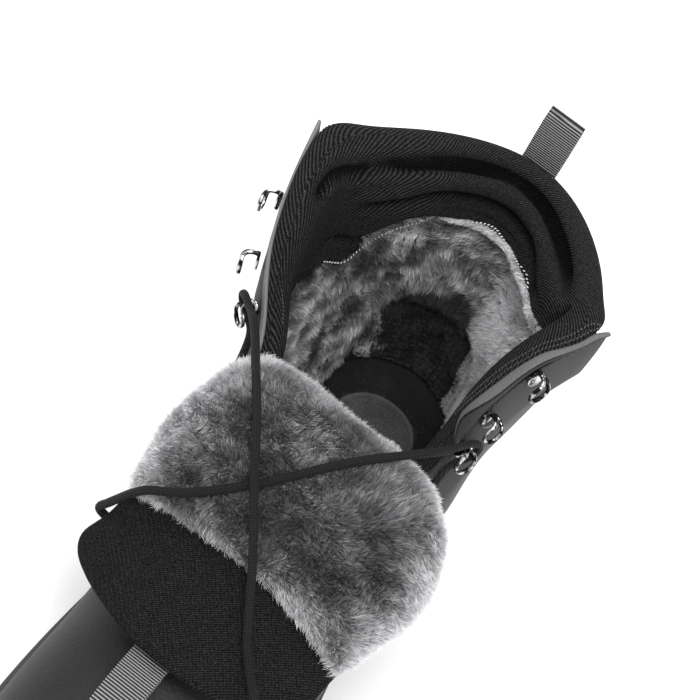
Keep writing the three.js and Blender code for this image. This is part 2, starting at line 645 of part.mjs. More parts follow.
// The tongue's middle layer. place: share from root to tip, across: -1 to 1, lift: toward its fleece side.
function tonguePoint(place, across, lift) {
  const step = 0.004;
  const middle = (at) =>
    new THREE.Vector3(
      read(tongueLine, "shift", at) * ballWidth,
      alongToY(read(tongueLine, "along", at) * bootLength),
      read(tongueLine, "up", at) * collarHeight,
    );
  const run = middle(Math.min(place + step, 1)).sub(middle(Math.max(place - step, 0)));
  const normal = run.setX(0).cross(new THREE.Vector3(1, 0, 0)).normalize();
  const half = read(tongueLine, "half", place) * ballWidth;
  const sweep = read(tongueLine, across > 0 ? "sweepRight" : "sweepLeft", place) * ballWidth;
  const p = middle(place);
  p.x += half * across;
  p.y -= sweep * across * across;
  p.z -= read(tongueLine, "droop", place) * ballWidth * across * across;
  return p.addScaledVector(normal, lift);
}

const tonguePlaces = stations([0, 0.4, 0.54, 1], 0.05).flatMap((at, n, list) =>
  n && at > 0.37 && at < 0.58 ? [(at + list[n - 1]) / 2, at] : [at],
);
const tongueAcross = [-1, -0.86, -0.6, -0.3, 0, 0.3, 0.6, 0.86, 1];

// Thickness falls away at the edges, so that the tongue reads as padded.
const edgeFall = (across) => 0.42 + 0.58 * Math.sqrt(1 - Math.pow(Math.abs(across), 4));

function tongue() {
  const tipFall = (place) => 0.55 + 0.45 * (1 - smoothStep(0.93, 1, place));
  const sheet = (sign) =>
    tonguePlaces.map((place) =>
      tongueAcross.map((across) =>
        tonguePoint(place, across, (sign * tongueThickness * edgeFall(across) * tipFall(place)) / 2),
      ),
    );
  return facingOut(sheet(1), sheet(-1));
}

function facingOut(one, other) {
  const made = wallSolid(one, other, false);
  return made.volume() < 0 ? wallSolid(other, one, false) : made;
}

// The fleece on the tongue, with locks fused along its rows.
function tongueFleece() {
  const places = tonguePlaces.filter((at) => at >= fleeceFrom && at <= fleeceTo + 0.02);
  const base = (across) => (tongueThickness * edgeFall(across)) / 2 + clearance;
  const sheet = (lift) =>
    places.map((place, i) => tongueAcross.map((across, j) => tonguePoint(place, across, lift(across, i, j))));
  const ends = (i, j) => i === 0 || i === places.length - 1 || j === 0 || j === tongueAcross.length - 1;
  const top = (across, i, j) => base(across) + pile * (ends(i, j) ? 0.55 : 0.8 + 0.25 * uneven(i, j));
  const pad = facingOut(sheet(top), sheet((across) => base(across)));
  const locks = [];
  places.slice(1, -1).forEach((place, i) => {
    const outs = i % 2 ? [-0.93, -0.45, 0.15, 0.93] : [-0.7, -0.15, 0.45, 0.7];
    outs.forEach((across, j) => locks.push(lock(place, across, base(across), i, j)));
  });
  return wasm.Manifold.union([pad, ...locks]);
}

const lockReach = 1.15; // shares of the pile
const lockSpread = 0.15;

// One lock: a leaning spike of four sides, rooted in the pad.
function lock(place, across, base, i, j) {
  const root = tonguePoint(place, across, base + pile * 0.35);
  const ahead = tonguePoint(Math.min(place + 0.03, 1), across, base + pile * 0.35);
  const beside = tonguePoint(place, across + 0.06, base + pile * 0.35).sub(root);
  const run = ahead.sub(root);
  const tip = tonguePoint(place, across, base + pile * (lockReach + lockSpread * uneven(i, j)));
  tip.addScaledVector(run, 0.5);
  const ring = [run, beside, run.clone().negate(), beside.clone().negate()].map((d) =>
    root.clone().addScaledVector(d, 0.85),
  );
  const triangles = ring.map((p, k) => [p, ring[(k + 1) % 4], tip]);
  triangles.push([ring[2], ring[1], ring[0]], [ring[3], ring[2], ring[0]]);
  const made = solid(triangles);
  return made.volume() < 0 ? solid(triangles.map(([a, b, c]) => [a, c, b])) : made;
}

// A round cord along a curve, closed at both ends.
function cord(points, diameter, steps, sides = 8) {
  const curve = new THREE.CatmullRomCurve3(points, false, "centripetal");
  const shape = new THREE.Shape(
    Array.from({ length: sides }, (_, k) => {
      const turn = ((k + 0.5) * 2 * Math.PI) / sides;
      return new THREE.Vector2(Math.cos(turn), Math.sin(turn)).multiplyScalar(diameter / 2);
    }),
  );
  return manifold(new THREE.ExtrudeGeometry(shape, { steps, extrudePath: curve, bevelEnabled: false }));
}

// Where a hook or ring stands: its place on the eyestay, and its axes along the edge, down the
// profile and outward.
function seatOnEyestay(at, side, inset = ringInset) {
  const level = 1 - inset;
  const place = under(at, side, level, -overlayWall - clearance - seatGap);
  const outward = upperNormal(at, side, level);
  const down = under(at, side, level - 0.02, 0).sub(under(at, side, level, 0)).normalize();
  const alongEdge = new THREE.Vector3().crossVectors(down, outward).normalize();
  const across = new THREE.Vector3().crossVectors(outward, alongEdge).normalize();
  return new THREE.Matrix4().makeBasis(alongEdge, across, outward).setPosition(place);
}

function placed(made, matrix) {
  return made.transform(matrix.toArray());
}

const plateThickness = 1.1;
function plate() {
  const disc = new THREE.CylinderGeometry(hookPlate, hookPlate, plateThickness, 12);
  disc.rotateX(Math.PI / 2).scale(0.78, 1, 1).translate(0, 0, plateThickness / 2);
  return manifold(disc);
}

// A speed hook: a plate and a wire loop that rises at its heel side and bends over toward the toe and
// down, so that the lace is caught under it. Each row is a place along the loop, across it and outward.
const hookTurn = Math.PI / 4;
const hookWay = [
  [-2.6, 1, 0.4],
  [-2.7, 1.2, 3.4],
  [-1.5, 2.3, hookReach - 0.1],
  [1.9, 3.2, hookReach],
  [4.9, 2.4, hookReach],
  [6.1, 0, hookReach],
];
function hook(at, side) {
  const turned = ([run, off, out]) =>
    new THREE.Vector3(
      side * (run * Math.cos(hookTurn) - off * Math.sin(hookTurn)),
      run * Math.sin(hookTurn) + off * Math.cos(hookTurn),
      out,
    );
  const back = hookWay.slice(0, -1).reverse().map(([run, off, out]) => [run, -off, out]);
  const wire = cord([...hookWay, ...back].map(turned), 2 * hookWire, 14, 6);
  return placed(plate().add(wire), seatOnEyestay(at, side, hookInset[side > 0 ? "right" : "left"]));
}

// A closed ring that stands on its plate: the lace runs through it along the edge.
const ringHeight = 7.4;
function laceRing(at, side) {
  const half = hookPlate * 0.78;
  const points = [
    [0, -half, 0.4],
    [0, -half, ringHeight * 0.55],
    [0, -half * 0.62, ringHeight * 0.9],
    [0, 0, ringHeight],
    [0, half * 0.62, ringHeight * 0.9],
    [0, half, ringHeight * 0.55],
    [0, half, 0.4],
  ].map((p) => new THREE.Vector3(...p));
  return placed(plate().add(cord(points, 2 * hookWire, 9, 6)), seatOnEyestay(at, side));
}

// How the lace passes a ring: along the edge through it, then up over the edge of the throat. In a
// seat's own axes the first points along the edge, toward the heel when it is turned by alongEdge.
const lacePass = { lift: 3.5, run: 5, overRun: 8, overIn: 7.5, overLift: 4.4 };
const spotAt = (at, side, inset) => (x, y, z) =>
  new THREE.Vector3(-side * x, y, z).applyMatrix4(seatOnEyestay(at, side, inset));
function passRing(n, side) {
  const { lift, run, overRun, overIn, overLift } = lacePass;
  const spot = spotAt(ringStations[n], side, ringInset);
  return {
    low: spot(-run, -0.5, lift),
    high: spot(run, -0.5, lift),
    lowOver: spot(-overRun, -overIn, overLift),
    highOver: spot(overRun, -overIn, overLift),
  };
}

// Round the posts of the lowest hook, from the outside to the throat. Each row is a point in the
// seat's axes: toward the heel, down the profile, outward.
const roundHook = [
  [-7, 3, 3.2],
  [0, 2.4, 3.1],
  [5.1, 1, 3.2],
  [5.8, -2.6, 3.6],
  [2.4, -6, 4.6],
  [-4, -8.2, 6],
];

// The loose rows over the folded tongue to its edges, where they tuck under: right: place across the
// boot, share of the ball width; along: share of the length; up: height where the row leaves the
// tongue, share of the collar height, or 0 where it lies on the tongue; over: how many laces it lies
// above that.
const rowFromRight = [
  { right: 0.32, along: 0.405, up: 0.835, over: 0 },
  { right: 0.14, along: 0.469, up: 0, over: 0 },
  { right: -0.08, along: 0.551, up: 0, over: 0 },
  { right: -0.25, along: 0.596, up: 0, over: 0 },
  { right: -0.36, along: 0.612, up: 0, over: 0 },
  { right: -0.448, along: 0.62, up: 0.588, over: 0 },
  { right: -0.475, along: 0.621, up: 0.553, over: 0 },
  { right: -0.43, along: 0.616, up: 0.522, over: 0 },
];
const rowFromLeft = [
  { right: -0.35, along: 0.415, up: 0.89, over: 0 },
  { right: -0.21, along: 0.493, up: 0, over: 0.3 },
  { right: -0.085, along: 0.55, up: 0, over: 1.15 },
  { right: 0.09, along: 0.618, up: 0, over: 0.1 },
  { right: 0.24, along: 0.674, up: 0, over: 0 },
  { right: 0.405, along: 0.73, up: 0.6, over: 0 },
  { right: 0.475, along: 0.756, up: 0.56, over: 0 },
  { right: 0.48, along: 0.758, up: 0.5, over: 0 },
  { right: 0.39, along: 0.73, up: 0.47, over: 0 },
];

// The place on the tongue, and across it, that lies over a point in plan when it is lifted.
function tongueSpot(x, y, lift) {
  let [low, high] = [0.5, 1];
  const acrossAt = (place) => {
    const half = read(tongueLine, "half", place) * ballWidth;
    return THREE.MathUtils.clamp((x - read(tongueLine, "shift", place) * ballWidth) / half, -1, 1);
  };
  for (let n = 0; n < 30; n++) {
    const place = (low + high) / 2;
    if (tonguePoint(place, acrossAt(place), lift).y > y) low = place;
    else high = place;
  }
  return [low, acrossAt(low)];
}

function looseRow(rows) {
  const onKnit = tongueThickness / 2 + 3 * clearance + laceDiameter / 2;
  const onPile = onKnit + pile * (lockReach + lockSpread);
  return rows.map(({ right: out, along, up, over }) => {
    const [x, y] = [out * ballWidth, alongToY(along * bootLength)];
    if (up) return new THREE.Vector3(x, y, up * collarHeight);
    const [place] = tongueSpot(x, y, onPile);
    const lift = (place > fleeceTo + pileEnd ? onKnit : onPile) + over * laceDiameter;
    return tonguePoint(...tongueSpot(x, y, lift), lift);
  });
}

// Where a lace leaves the hook for the tongue: the place, and its way on to the next point of the row.
function leaveHook(side) {
  const inset = hookInset[side > 0 ? "right" : "left"];
  const hooked = roundHook.map((p) => spotAt(hookStations[0], side, inset)(...p));
  const row = looseRow(side > 0 ? rowFromRight : rowFromLeft);
  const place = hooked[hooked.length - 1];
  return { hooked, row, place, way: row[0].clone().sub(place).normalize() };
}

// The laced part: a bar across the lowest rings, crossings up to the top rings, and a run up each
// side round the lowest hook.
const straight = 2.5; // both ends lie straight for this far where they meet
function lace() {
  const bar = [
    passRing(0, right).high,
    passRing(0, right).low,
    passRing(0, right).lowOver,
    passRing(0, left).lowOver,
    passRing(0, left).low,
    passRing(0, left).high,
  ];
  const strand = (side) => {
    const [a, b, c] = [passRing(0, side), passRing(1, -side), passRing(2, side)];
    const crossing = [a.high, a.highOver, b.lowOver, b.low, b.high, b.highOver, c.lowOver, c.low, c.high];
    const { hooked, place, way } = leaveHook(side);
    const end = place.clone().addScaledVector(way, straight);
    return cord(crossing, laceDiameter, 27).add(cord([c.low, c.high, ...hooked, end], laceDiameter, 22));
  };
  return cord(bar, laceDiameter, 11).add(strand(right)).add(strand(left));
}

// A loose end of the lace over the tongue. The left one crosses over the right one.
function laceEnd(side) {
  const { row, place, way } = leaveHook(side);
  const start = place.clone().addScaledVector(way, straight + clearance);
  const lead = start.clone().addScaledVector(way, straight);
  return cord([start, lead, ...row.slice(1)], laceDiameter, 30);
}

// A flat strip of webbing along a path, its width across.
function webbing(path, width, across) {
  const half = width / 2;
  const curve = new THREE.CatmullRomCurve3(path, false, "centripetal");
  const steps = 16;
  const rings = Array.from({ length: steps + 1 }, (_, k) => {
    const p = curve.getPoint(k / steps);
    const normal = curve.getTangent(k / steps).cross(across).normalize();
    const corner = (x, n) =>
      p.clone().addScaledVector(across, x).addScaledVector(normal, (n * webbingThickness) / 2);
    return [corner(-half, -1), corner(half, -1), corner(half, 1), corner(-half, 1)];
  });
  return sweptSolid(rings);
}

// The pull loop at the heel stands up from the backstay behind the collar.
const heelLoopShift = -2;
function heelLoop() {
  const off = overlayWall + 3 * clearance + webbingThickness / 2;
  const edge = topPoint(1, right);
  const behind = edge.y + 0.22 * collarPad + 2 * clearance + webbingThickness;
  const crest = edge.z + collarRise;
  const spot = (back, z) => new THREE.Vector3(0, behind + back, z);
  const laid = (v, more) => under(1, right, v, -off - more);
  const gap = webbingThickness + clearance;
  const path = [
    laid(0.84, 0),
    laid(0.92, 0),
    laid(0.97, 0.6),
    spot(0, edge.z + 0.3 * collarRise),
    spot(0, crest),
    spot(0.4, crest + heelLoopHeight - 5),
    spot(gap, crest + heelLoopHeight),
    spot(2 * gap - 0.4, crest + heelLoopHeight - 5),
    spot(1.4 * gap, crest),
    spot(1.2 * gap, edge.z + 0.3 * collarRise),
    laid(0.97, 0.6 + 1.1 * gap),
    laid(0.88, 1.1 * gap),
  ].map((p) => p.setX(heelLoopShift));
  return webbing(path, webbingWidth, new THREE.Vector3(1, 0, 0));
}

// The pull loop at the tip of the tongue lies forward over the vamp.
const loopPlace = -0.04;
function tongueLoop() {
  const lift = -(tongueThickness * 0.7) / 2 - webbingThickness / 2 - 3 * clearance;
  const root = tonguePoint(0.955, loopPlace, -tongueThickness / 2 - webbingThickness / 2 - 3 * clearance);
  const tip = tonguePoint(1, loopPlace, lift);
  const ahead = (forward, up) => tip.clone().add(new THREE.Vector3(0, -forward, up));
  const path = [
    root,
    tip,
    ahead(6, 0.6),
    ahead(tongueLoopLength * 0.6, 0.2),
    ahead(tongueLoopLength, -4),
    ahead(tongueLoopLength + 0.4, -6.4),
    ahead(tongueLoopLength * 0.6, -6.6),
    ahead(7, -3.4),
    ahead(1, -2.6),
  ];
  return webbing(path, webbingWidth, new THREE.Vector3(1, 0, 0));
}

// Colours and finishes
const finishes = {
  leather: { color: 0x3a3a3c, roughness: 0.55, metalness: 0 },
  knit: { color: 0x141415, roughness: 0.95, metalness: 0 },
  fleece: { color: 0x8a8a90, roughness: 1, metalness: 0 },
  rubber: { color: 0x1a1a1b, roughness: 0.8, metalness: 0 },
  foam: { color: 0x202022, roughness: 0.85, metalness: 0 },
  webbing: { color: 0x5a5a5e, roughness: 0.9, metalness: 0 },
  lace: { color: 0x0e0e0f, roughness: 0.85, metalness: 0 },
  metal: { color: 0x6b6b70, roughness: 0.25, metalness: 1 },
};

function piece(name, made, finish) {
  const mesh = made.getMesh();
  const positions = new Float32Array(mesh.numVert * 3);
  for (let n = 0; n < mesh.numVert; n++)
    positions.set(mesh.vertProperties.subarray(n * mesh.numProp, n * mesh.numProp + 3), n * 3);
  const geometry = new THREE.BufferGeometry();
  geometry.setAttribute("position", new THREE.BufferAttribute(positions, 3));
  geometry.setIndex(new THREE.BufferAttribute(new Uint32Array(mesh.triVerts), 1));
  geometry.computeVertexNormals();
  const item = new THREE.Mesh(geometry, new THREE.MeshStandardMaterial(finishes[finish]));
  item.name = name;
  return item;
}

const boot = new THREE.Group();
boot.name = "snow_boot";
boot.add(
  piece("outsole", outsole(), "rubber"),
  piece("midsole", midsole(), "foam"),
  piece("insole", insole(), "fleece"),
  piece("upper", upper(), "leather"),
  piece("eyestay_right", eyestay(right), "leather"),
  piece("eyestay_left", eyestay(left), "leather"),
  piece("backstay", backstay(), "leather"),
  piece("collar", collar(), "knit"),
  piece("fleece_lining", fleeceLining(), "fleece"),
  piece("heel_lining", heelLining(), "foam"),
  piece("tongue", tongue(), "knit"),
  piece("tongue_fleece", tongueFleece(), "fleece"),
  piece("heel_loop", heelLoop(), "webbing"),
  piece("tongue_loop", tongueLoop(), "webbing"),
  piece("lace", lace(), "lace"),
  piece("lace_end_right", laceEnd(right), "lace"),
  piece("lace_end_left", laceEnd(left), "lace"),
);
for (const [word, side] of [["right", right], ["left", left]]) {
  hookStations.forEach((at, n) => boot.add(piece(`hook_${word}_${n + 1}`, hook(at, side), "metal")));
  ringStations.forEach((at, n) => boot.add(piece(`ring_${word}_${n + 1}`, laceRing(at, side), "metal")));
}

export default boot;
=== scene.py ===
# Snow boot with its collar open and the fleece tongue folded forward. Metres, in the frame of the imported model.
import bpy
import json
import math
import numpy as np
from mathutils import Matrix, Vector
from mathutils.bvhtree import BVHTree

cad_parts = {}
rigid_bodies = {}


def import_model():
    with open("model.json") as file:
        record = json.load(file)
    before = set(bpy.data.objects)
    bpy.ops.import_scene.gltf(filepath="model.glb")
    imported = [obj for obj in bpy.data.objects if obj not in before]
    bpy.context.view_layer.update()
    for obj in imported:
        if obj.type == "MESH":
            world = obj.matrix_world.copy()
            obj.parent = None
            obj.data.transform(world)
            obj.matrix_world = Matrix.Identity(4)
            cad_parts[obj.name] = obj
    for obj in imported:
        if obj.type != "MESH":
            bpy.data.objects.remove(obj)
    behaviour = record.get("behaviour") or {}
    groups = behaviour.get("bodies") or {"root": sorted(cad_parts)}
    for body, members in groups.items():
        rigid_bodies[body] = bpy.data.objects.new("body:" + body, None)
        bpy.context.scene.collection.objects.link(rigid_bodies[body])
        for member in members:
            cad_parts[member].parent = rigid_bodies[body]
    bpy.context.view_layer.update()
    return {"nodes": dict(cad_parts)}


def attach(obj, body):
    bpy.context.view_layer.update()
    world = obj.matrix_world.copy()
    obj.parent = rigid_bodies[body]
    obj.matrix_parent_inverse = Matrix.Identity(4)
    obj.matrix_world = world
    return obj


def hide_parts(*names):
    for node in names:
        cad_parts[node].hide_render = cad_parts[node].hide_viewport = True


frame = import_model()

# camera and light

cameraView = {"elevation": 52, "azimuth": 10, "roll": 29, "lens": 127.3, "place": (0.0802, -0.5848, 0.8225)}


def addCamera(view):
    e, a, r = (math.radians(view[k]) for k in ("elevation", "azimuth", "roll"))
    back = Vector((math.sin(a) * math.cos(e), -math.cos(a) * math.cos(e), math.sin(e)))
    level = Vector((math.cos(a), math.sin(a), 0))
    upright = back.cross(level)
    side = level * math.cos(r) + upright * math.sin(r)
    up = upright * math.cos(r) - level * math.sin(r)
    camera = bpy.data.objects.new("camera", bpy.data.cameras.new("camera"))
    bpy.context.scene.collection.objects.link(camera)
    camera.data.lens = view["lens"]
    camera.data.sensor_width = 36
    camera.data.clip_start = 0.01
    turn = Matrix((side, up, back)).transposed().to_4x4()
    camera.matrix_world = Matrix.Translation(view["place"]) @ turn
    bpy.context.scene.camera = camera


lightTarget = Vector((0, -0.08, 0.1))


def addLight(name, place, size, power):
    light = bpy.data.lights.new(name, "AREA")
    light.shape = "DISK"
    light.size = size
    light.energy = power
    lamp = bpy.data.objects.new(name, light)
    lamp.location = place
    lamp.rotation_euler = (lightTarget - Vector(place)).to_track_quat("-Z", "Y").to_euler()
    bpy.context.scene.collection.objects.link(lamp)


addCamera(cameraView)
addLight("keyLight", (-0.45, 0.3, 1.15), 0.6, 5)
addLight("fillLight", (0.9, -0.4, 0.9), 0.8, 3)
addLight("shaftLight", (0.1, -0.42, 0.95), 0.3, 5)
world = bpy.data.worlds.new("studio")
world.use_nodes = True
world.node_tree.nodes["Background"].inputs["Color"].default_value = (1, 1, 1, 1)
world.node_tree.nodes["Background"].inputs["Strength"].default_value = 1.0
bpy.context.scene.world = world
bpy.context.scene.view_settings.view_transform = "Standard"
print("camera and light")


# shader maths, where each wire is one socket of a node tree

class Wire:
    def __init__(self, tree, socket=None):
        self.tree = tree
        self.socket = socket

    def node(self, kind, settings=None, values=None, out=0):
        made = self.tree.nodes.new(kind)
        for key, value in (settings or {}).items():
            if key == "stops":  # of a colour ramp
                ramp = made.color_ramp.elements
                while len(ramp) < len(value):
                    ramp.new(0.5)
                for stop, (place, colour) in zip(ramp, value):
                    stop.position = place
                    stop.color = (*colour, 1)
            else:
                setattr(made, key, value)
        for key, value in (values or {}).items():
            self.feed(made.inputs[key], value)
        return Wire(self.tree, made.outputs[out])

    def feed(self, socket, value):
        if isinstance(value, Wire):
            self.tree.links.new(value.socket, socket)
        elif isinstance(value, tuple) and len(value) == 3 and socket.type == "RGBA":
            socket.default_value = (*value, 1)
        else:
            socket.default_value = value

    def maths(self, operation, *values):
        return self.node("ShaderNodeMath", {"operation": operation}, dict(enumerate((self, *values))))

    def __add__(self, other):
        return self.maths("ADD", other)

    def __sub__(self, other):
        return self.maths("SUBTRACT", other)

    def __mul__(self, other):
        return self.maths("MULTIPLY", other)

    def __truediv__(self, other):
        return self.maths("DIVIDE", other)

    def __neg__(self):
        return self.maths("MULTIPLY", -1.0)

    def __rsub__(self, other):
        return -self + other

    def sine(self):
        return self.maths("SINE")

    def between(self, low, high):
        return self.node("ShaderNodeMapRange", {"interpolation_type": "SMOOTHSTEP", "clamp": True},
                         {"Value": self, "From Min": low, "From Max": high})

    def blend(self, first, second):
        made = self.tree.nodes.new("ShaderNodeMix")
        made.data_type = "RGBA"
        self.feed(made.inputs["Factor"], self)
        self.feed(made.inputs[6], first)
        self.feed(made.inputs[7], second)
        return Wire(self.tree, made.outputs[2])

    def noise(self, scale, detail):
        return self.node("ShaderNodeTexNoise", None,
                         {"Vector": self, "Scale": scale, "Detail": detail, "Roughness": 0.55})

    def stretched(self, x, y, z):
        return self.node("ShaderNodeVectorMath", {"operation": "MULTIPLY"}, {0: self, 1: (x, y, z)})

    def parts(self):
        split = self.node("ShaderNodeSeparateXYZ", None, {0: self}).socket.node
        return [Wire(self.tree, socket) for socket in split.outputs]


def newMaterial(name, paint, constants=None):
    material = bpy.data.materials.new(name)
    material.use_nodes = True
    tree = material.node_tree
    shader = tree.nodes["Principled BSDF"]
    for key, value in (constants or {}).items():
        shader.inputs[key].default_value = value
    wire = Wire(tree)
    place = wire.node("ShaderNodeTexCoord", out="Object")
    surface = wire.node("ShaderNodeUVMap")
    made = paint(place, surface)
    for key in ("Base Color", "Roughness", "Metallic"):
        if key in made:
            wire.feed(shader.inputs[key], made[key])
    if "height" in made:
        bump = wire.node("ShaderNodeBump", None,
                         {"Height": made["height"], "Distance": made["depth"], "Strength": made.get("strength", 1.0)})
        tree.links.new(bump.socket, shader.inputs["Normal"])
    return material


def leatherPaint(dark, light):
    def paint(place, surface):
        grain = place.node("ShaderNodeTexVoronoi", {"feature": "SMOOTH_F1"},
                           {"Vector": place, "Scale": 800, "Smoothness": 0.6})
        cloud = place.noise(28, 4)
        fine = place.noise(1600, 2)
        tone = (cloud * 0.4 + fine * 0.6).between(0.3, 0.7)
        return {"Base Color": tone.blend(dark, light), "Roughness": cloud * 0.15 + 0.5,
                "height": grain * 0.6 + cloud * 0.3, "depth": 0.0003, "strength": 0.5}
    return paint


stitchPitch = 2.6


# the facing's map holds the way along its edge and the distance below it, in millimetres
def facingPaint(edge, pale, row):
    def paint(place, surface):
        along, below, _ = surface.parts()
        base = leatherPaint((0.022, 0.022, 0.0225), (0.035, 0.035, 0.036))(place, surface)
        cut = 1 - below.between(edge, edge + 0.3)
        groove = below.between(row, row + 0.3) - below.between(row + 0.6, row + 0.9)
        stitch = (along * (2 * math.pi / stitchPitch)).sine().between(-0.5, 0.0) * groove
        colour = cut.blend(base["Base Color"], pale)
        colour = groove.blend(colour, (0.012, 0.012, 0.012))
        return {"Base Color": stitch.blend(colour, (0.004, 0.004, 0.004)), "Roughness": base["Roughness"],
                "height": base["height"] * 0.2 - groove * 0.8 + stitch * 1.2, "depth": 0.0005}
    return paint


# the folded band is pale to a stitched groove, and tapers off at its lower end
def bandPaint(place, surface):
    along, across, _ = surface.parts()
    base = leatherPaint((0.07, 0.07, 0.072), (0.11, 0.11, 0.113))(place, surface)
    away = across + along.between(44, 66) * 5
    face = away.between(6.4, 6.8)
    groove = away.between(6.6, 6.9) - away.between(7.6, 7.9)
    stitch = (along * (2 * math.pi / stitchPitch)).sine().between(-0.5, 0.0) * groove
    colour = face.blend(base["Base Color"], (0.028, 0.028, 0.029))
    colour = groove.blend(colour, (0.01, 0.01, 0.01))
    return {"Base Color": stitch.blend(colour, (0.003, 0.003, 0.003)), "Roughness": base["Roughness"],
            "height": base["height"] * 0.3 - groove * 0.8 + stitch * 1.2 - face * 0.6, "depth": 0.0006}


# the seam of the vamp lies in a plane that leans forward as it rises, in metres
vampSeam = {"place": 0.052, "slope": 0.7, "up": (0, -0.573, 0.819)}


# the vamp is darker than the quarters behind its seam
def upperPaint(place, surface):
    base = leatherPaint((0.011, 0.011, 0.0115), (0.019, 0.019, 0.0195))(place, surface)
    _, forward, high = place.parts()
    seam = forward + high * vampSeam["slope"] + vampSeam["place"]
    quarter = seam.between(-0.0003, 0.0003)
    line = seam.between(-0.0012, -0.0002) - seam.between(0.0002, 0.0012)
    grey = place.noise(60, 4).between(0.3, 0.7).blend((0.032, 0.032, 0.033), (0.042, 0.042, 0.043))
    return {"Base Color": quarter.blend(base["Base Color"], grey), "Roughness": base["Roughness"],
            "height": base["height"] + quarter * 1.5 - line * 1.0, "depth": 0.0004, "strength": 0.6}


# knit maps hold millimetres: on the collar the way round and the way across its rolls
# a second map of the collar holds painted shade in its creases
def knitPaint(ribbed, light):
    def paint(place, surface):
        along, across, _ = surface.parts()
        creaseShade, _, _ = place.node("ShaderNodeUVMap", {"uv_map": "creases"}).parts()
        waver = place.noise(110, 2) * 2.4
        twill = ((along + across) * (2 * math.pi / 1.75) + waver).sine()
        loop = ((along - across * 1.3) * (2 * math.pi / 1.2) + waver).sine()
        speck = place.noise(1600, 2)
        # painted shade: the knit is darkened where the second map marks the collar's creases
        lit = (twill * (ribbed * 0.24) + loop * 0.14 + speck * 1.1 - creaseShade * 0.5).between(0.3, 1.2)
        return {"Base Color": lit.blend((0.002, 0.002, 0.0023), (light, light, light)), "Roughness": 0.95,
                "height": twill * (ribbed * 0.8) + loop * 0.3 + speck * 0.8, "depth": 0.0006, "strength": 0.9}
    return paint


# blades hold their own tone and the way from root to tip
def pilePaint(place, surface):
    tone, rise, _ = surface.parts()
    lit = (tone * 0.72 + rise * 0.3 + place.noise(500, 2) * 0.12).between(0.12, 1.1)
    return {"Base Color": lit.node("ShaderNodeValToRGB", {"stops": [
        (0.0, (0.02, 0.02, 0.022)), (0.35, (0.15, 0.15, 0.155)), (0.65, (0.45, 0.45, 0.46)),
        (1.0, (0.92, 0.92, 0.94))]}, {"Fac": lit}), "Roughness": 0.8}


def backingPaint(place, surface):
    patch = place.noise(300, 4)
    return {"Base Color": patch.blend((0.03, 0.03, 0.032), (0.2, 0.2, 0.205)), "Roughness": 0.95,
            "height": patch, "depth": 0.0012}


def webbingPaint(place, surface):
    across, along, _ = surface.parts()
    rib = (along * (2 * math.pi / 1.1)).sine()
    thread = (across * (2 * math.pi / 0.5)).sine()
    lit = (rib + thread * 0.15).between(-0.25, 0.45)
    return {"Base Color": lit.blend((0.005, 0.005, 0.006), (0.3, 0.3, 0.305)), "Roughness": 0.8,
            "height": rib + thread * 0.2, "depth": 0.0003}


def lacePaint(place, surface):
    around, along, _ = surface.parts()
    one = (along * (2 * math.pi / 1.7) + around * (2 * math.pi / 2.1)).sine()
    two = (along * (2 * math.pi / 1.7) - around * (2 * math.pi / 2.1)).sine()
    braid = one * two
    lit = braid.between(-0.3, 1.0)
    return {"Base Color": lit.blend((0.001, 0.001, 0.0012), (0.014, 0.014, 0.015)), "Roughness": 0.75,
            "height": braid, "depth": 0.0005}


def metalPaint(place, surface):
    # the metal's base colour is painted with dark reflections and bright glints
    paintedReflection = place.noise(330, 2).between(0.44, 0.6)
    return {"Base Color": paintedReflection.blend((0.012, 0.012, 0.013), (0.6, 0.6, 0.62)), "Roughness": paintedReflection * 0.1 + 0.12}


def rubberPaint(dark, light):
    def paint(place, surface):
        cloud = place.noise(60, 4)
        fine = place.noise(1400, 2)
        return {"Base Color": cloud.blend(dark, light), "Roughness": cloud * 0.2 + 0.55,
                "height": fine, "depth": 0.0002, "strength": 0.5}
    return paint


# the disc on the footbed, with its half widths squared
footbedDisc = {"middle": (0.001, -0.004), "spread": (0.00034, 0.0003)}


def feltPaint(place, surface):
    fuzz = place.noise(1100, 4)
    cloud = place.noise(60, 4)
    x, y, _ = place.parts()
    x, y = x - footbedDisc["middle"][0], y - footbedDisc["middle"][1]
    away = (x * x / footbedDisc["spread"][0] + y * y / footbedDisc["spread"][1]).maths("SQRT")
    disc = 1 - away.between(0.93, 1.0)
    rim = away.between(0.84, 0.93) * disc
    tone = (fuzz * 0.5 + cloud * 0.5 + disc * 0.35 + rim * 0.2).between(0.45, 1.2)
    return {"Base Color": tone.blend((0.004, 0.004, 0.0045), (0.12, 0.12, 0.123)), "Roughness": 0.9,
            "height": fuzz + disc * 2, "depth": 0.0005}


def gripPaint(place, surface):
    crease = place.stretched(1, 1, 3).noise(90, 4)
    fuzz = place.noise(1500, 2)
    # painted sheen: the dark grip is lighter along its wrinkles
    lit = (crease * 0.8 + fuzz * 0.3).between(0.4, 0.85)
    return {"Base Color": lit.blend((0.004, 0.004, 0.005), (0.05, 0.05, 0.053)), "Roughness": 0.6,
            "height": crease, "depth": 0.0012}


